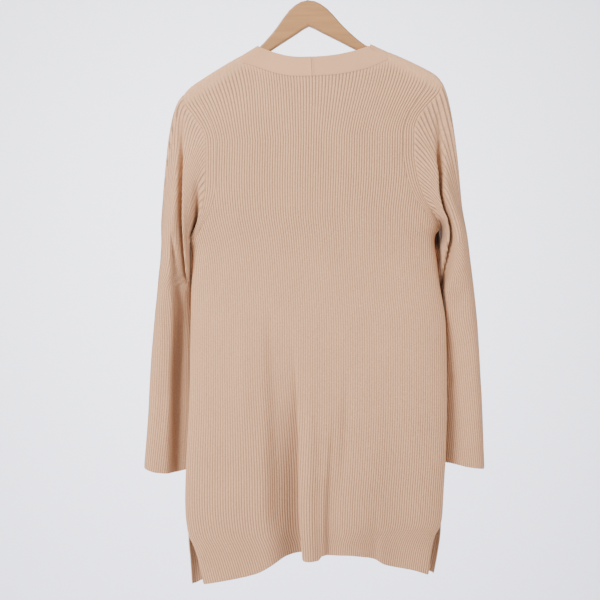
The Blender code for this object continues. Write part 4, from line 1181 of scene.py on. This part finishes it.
# %% Dress the frame
for row, (made, node_name, knit, name) in enumerate((
        ({0: back}, "back", rib_knit, "beige_rib_knit"),
        (fronts, "front", rib_knit, "beige_rib_knit"),
        (sleeves, "sleeve", rib_knit, "beige_rib_knit"),
        (bands, "band", plain_knit, "beige_plain_knit"))):
    for side, piece in made.items():
        word = {0: "", -1: "_left", 1: "_right"}[side]
        piece.data.materials.append(knit)
        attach(piece, "root")
        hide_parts(node_name + word)
for node_name, finish in (("hanger_yoke", beech), ("hanger_hook", steel)):
    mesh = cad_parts[node_name].data
    mesh.materials.clear()
    mesh.materials.append(finish)
print("finishes:", [knit.name for knit in (rib_knit, plain_knit, beech, steel)])

# %% [markdown]
# The set is as plain as the object needs: a pale floor and a pale wall well behind it.

# %% Floor and wall
paper, tree, shader = new_material("pale_paper")
shader.inputs["Base Color"].default_value = linear("#e2e2ed")
shader.inputs["Roughness"].default_value = 0.9
for name, place, turn in (("floor", (0, 0, -1.76), (0, 0, 0)), ("wall", (0, 2.45, 1.2), (np.pi / 2, 0, 0))):
    bpy.ops.object.select_all(action="DESELECT")
    bpy.ops.mesh.primitive_plane_add(size=1, location=place, rotation=turn)
    sheet = bpy.context.object
    sheet.name = name
    sheet.scale = (9, 9, 1)
    bpy.ops.object.transform_apply(location=True, rotation=True, scale=True)
    sheet.data.materials.append(paper)
    sheet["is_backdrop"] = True
print("stage:", sheet.name, "at", round(sheet.data.vertices[0].co.y, 2), "m")

# %% [markdown]
# A large soft light stands high on the left, a wider and weaker one on the right, and a third behind
# the object washes the wall. The pale world fills the rest, so that the ribs show but no shadow is
# hard.

# %% Light
world = bpy.data.worlds.new("soft_room")
bpy.context.scene.world = world
world.use_nodes = True
world.node_tree.nodes["Background"].inputs["Color"].default_value = linear("#e9ebef")
world.node_tree.nodes["Background"].inputs["Strength"].default_value = 0.95


def soft_light(name, place, aim, size, power):
    """A square area light at a place, turned towards a point."""
    lamp = bpy.data.lights.new(name, "AREA")
    lamp.size, lamp.energy = size, power
    made = bpy.data.objects.new(name, lamp)
    bpy.context.scene.collection.objects.link(made)
    made.location = place
    away = Vector([a - b for a, b in zip(place, aim)])
    made.rotation_euler = away.to_track_quat("Z", "Y").to_euler()


soft_light("window", (-2.0, -1.9, 0.9), (0, 0, -0.5), 1.3, 240)
soft_light("bounce", (2.2, -1.5, 0.4), (0, 0, -0.5), 1.6, 70)
soft_light("wall_wash", (-0.15, 0.75, -0.2), (-0.15, 2.45, -0.35), 2.0, 108)
print("lights:", [lamp.name for lamp in bpy.data.lights])

# %% [markdown]
# The camera stands level with the middle of the garment, 1.65 m away, square to its back, with a lens
# that takes in 948 mm at that distance.

# %% Camera
SENSOR_MM = 36.0
DISTANCE = 1.65
VIEW_WIDE = 0.948
lens = bpy.data.cameras.new("camera")
lens.sensor_width = SENSOR_MM
lens.lens = SENSOR_MM * DISTANCE / VIEW_WIDE
camera = bpy.data.objects.new("camera", lens)
bpy.context.scene.collection.objects.link(camera)
camera.location = (-0.0079, -DISTANCE, -0.54305)
camera.rotation_euler = (np.pi / 2, 0, 0)
bpy.context.scene.camera = camera
print("lens, mm:", round(lens.lens, 2))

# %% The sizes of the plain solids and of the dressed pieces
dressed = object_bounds()
for word, box in (("cad", cad_box), ("visual", dressed)):
    print(word, [[round(v, 4) for v in corner] for corner in box])
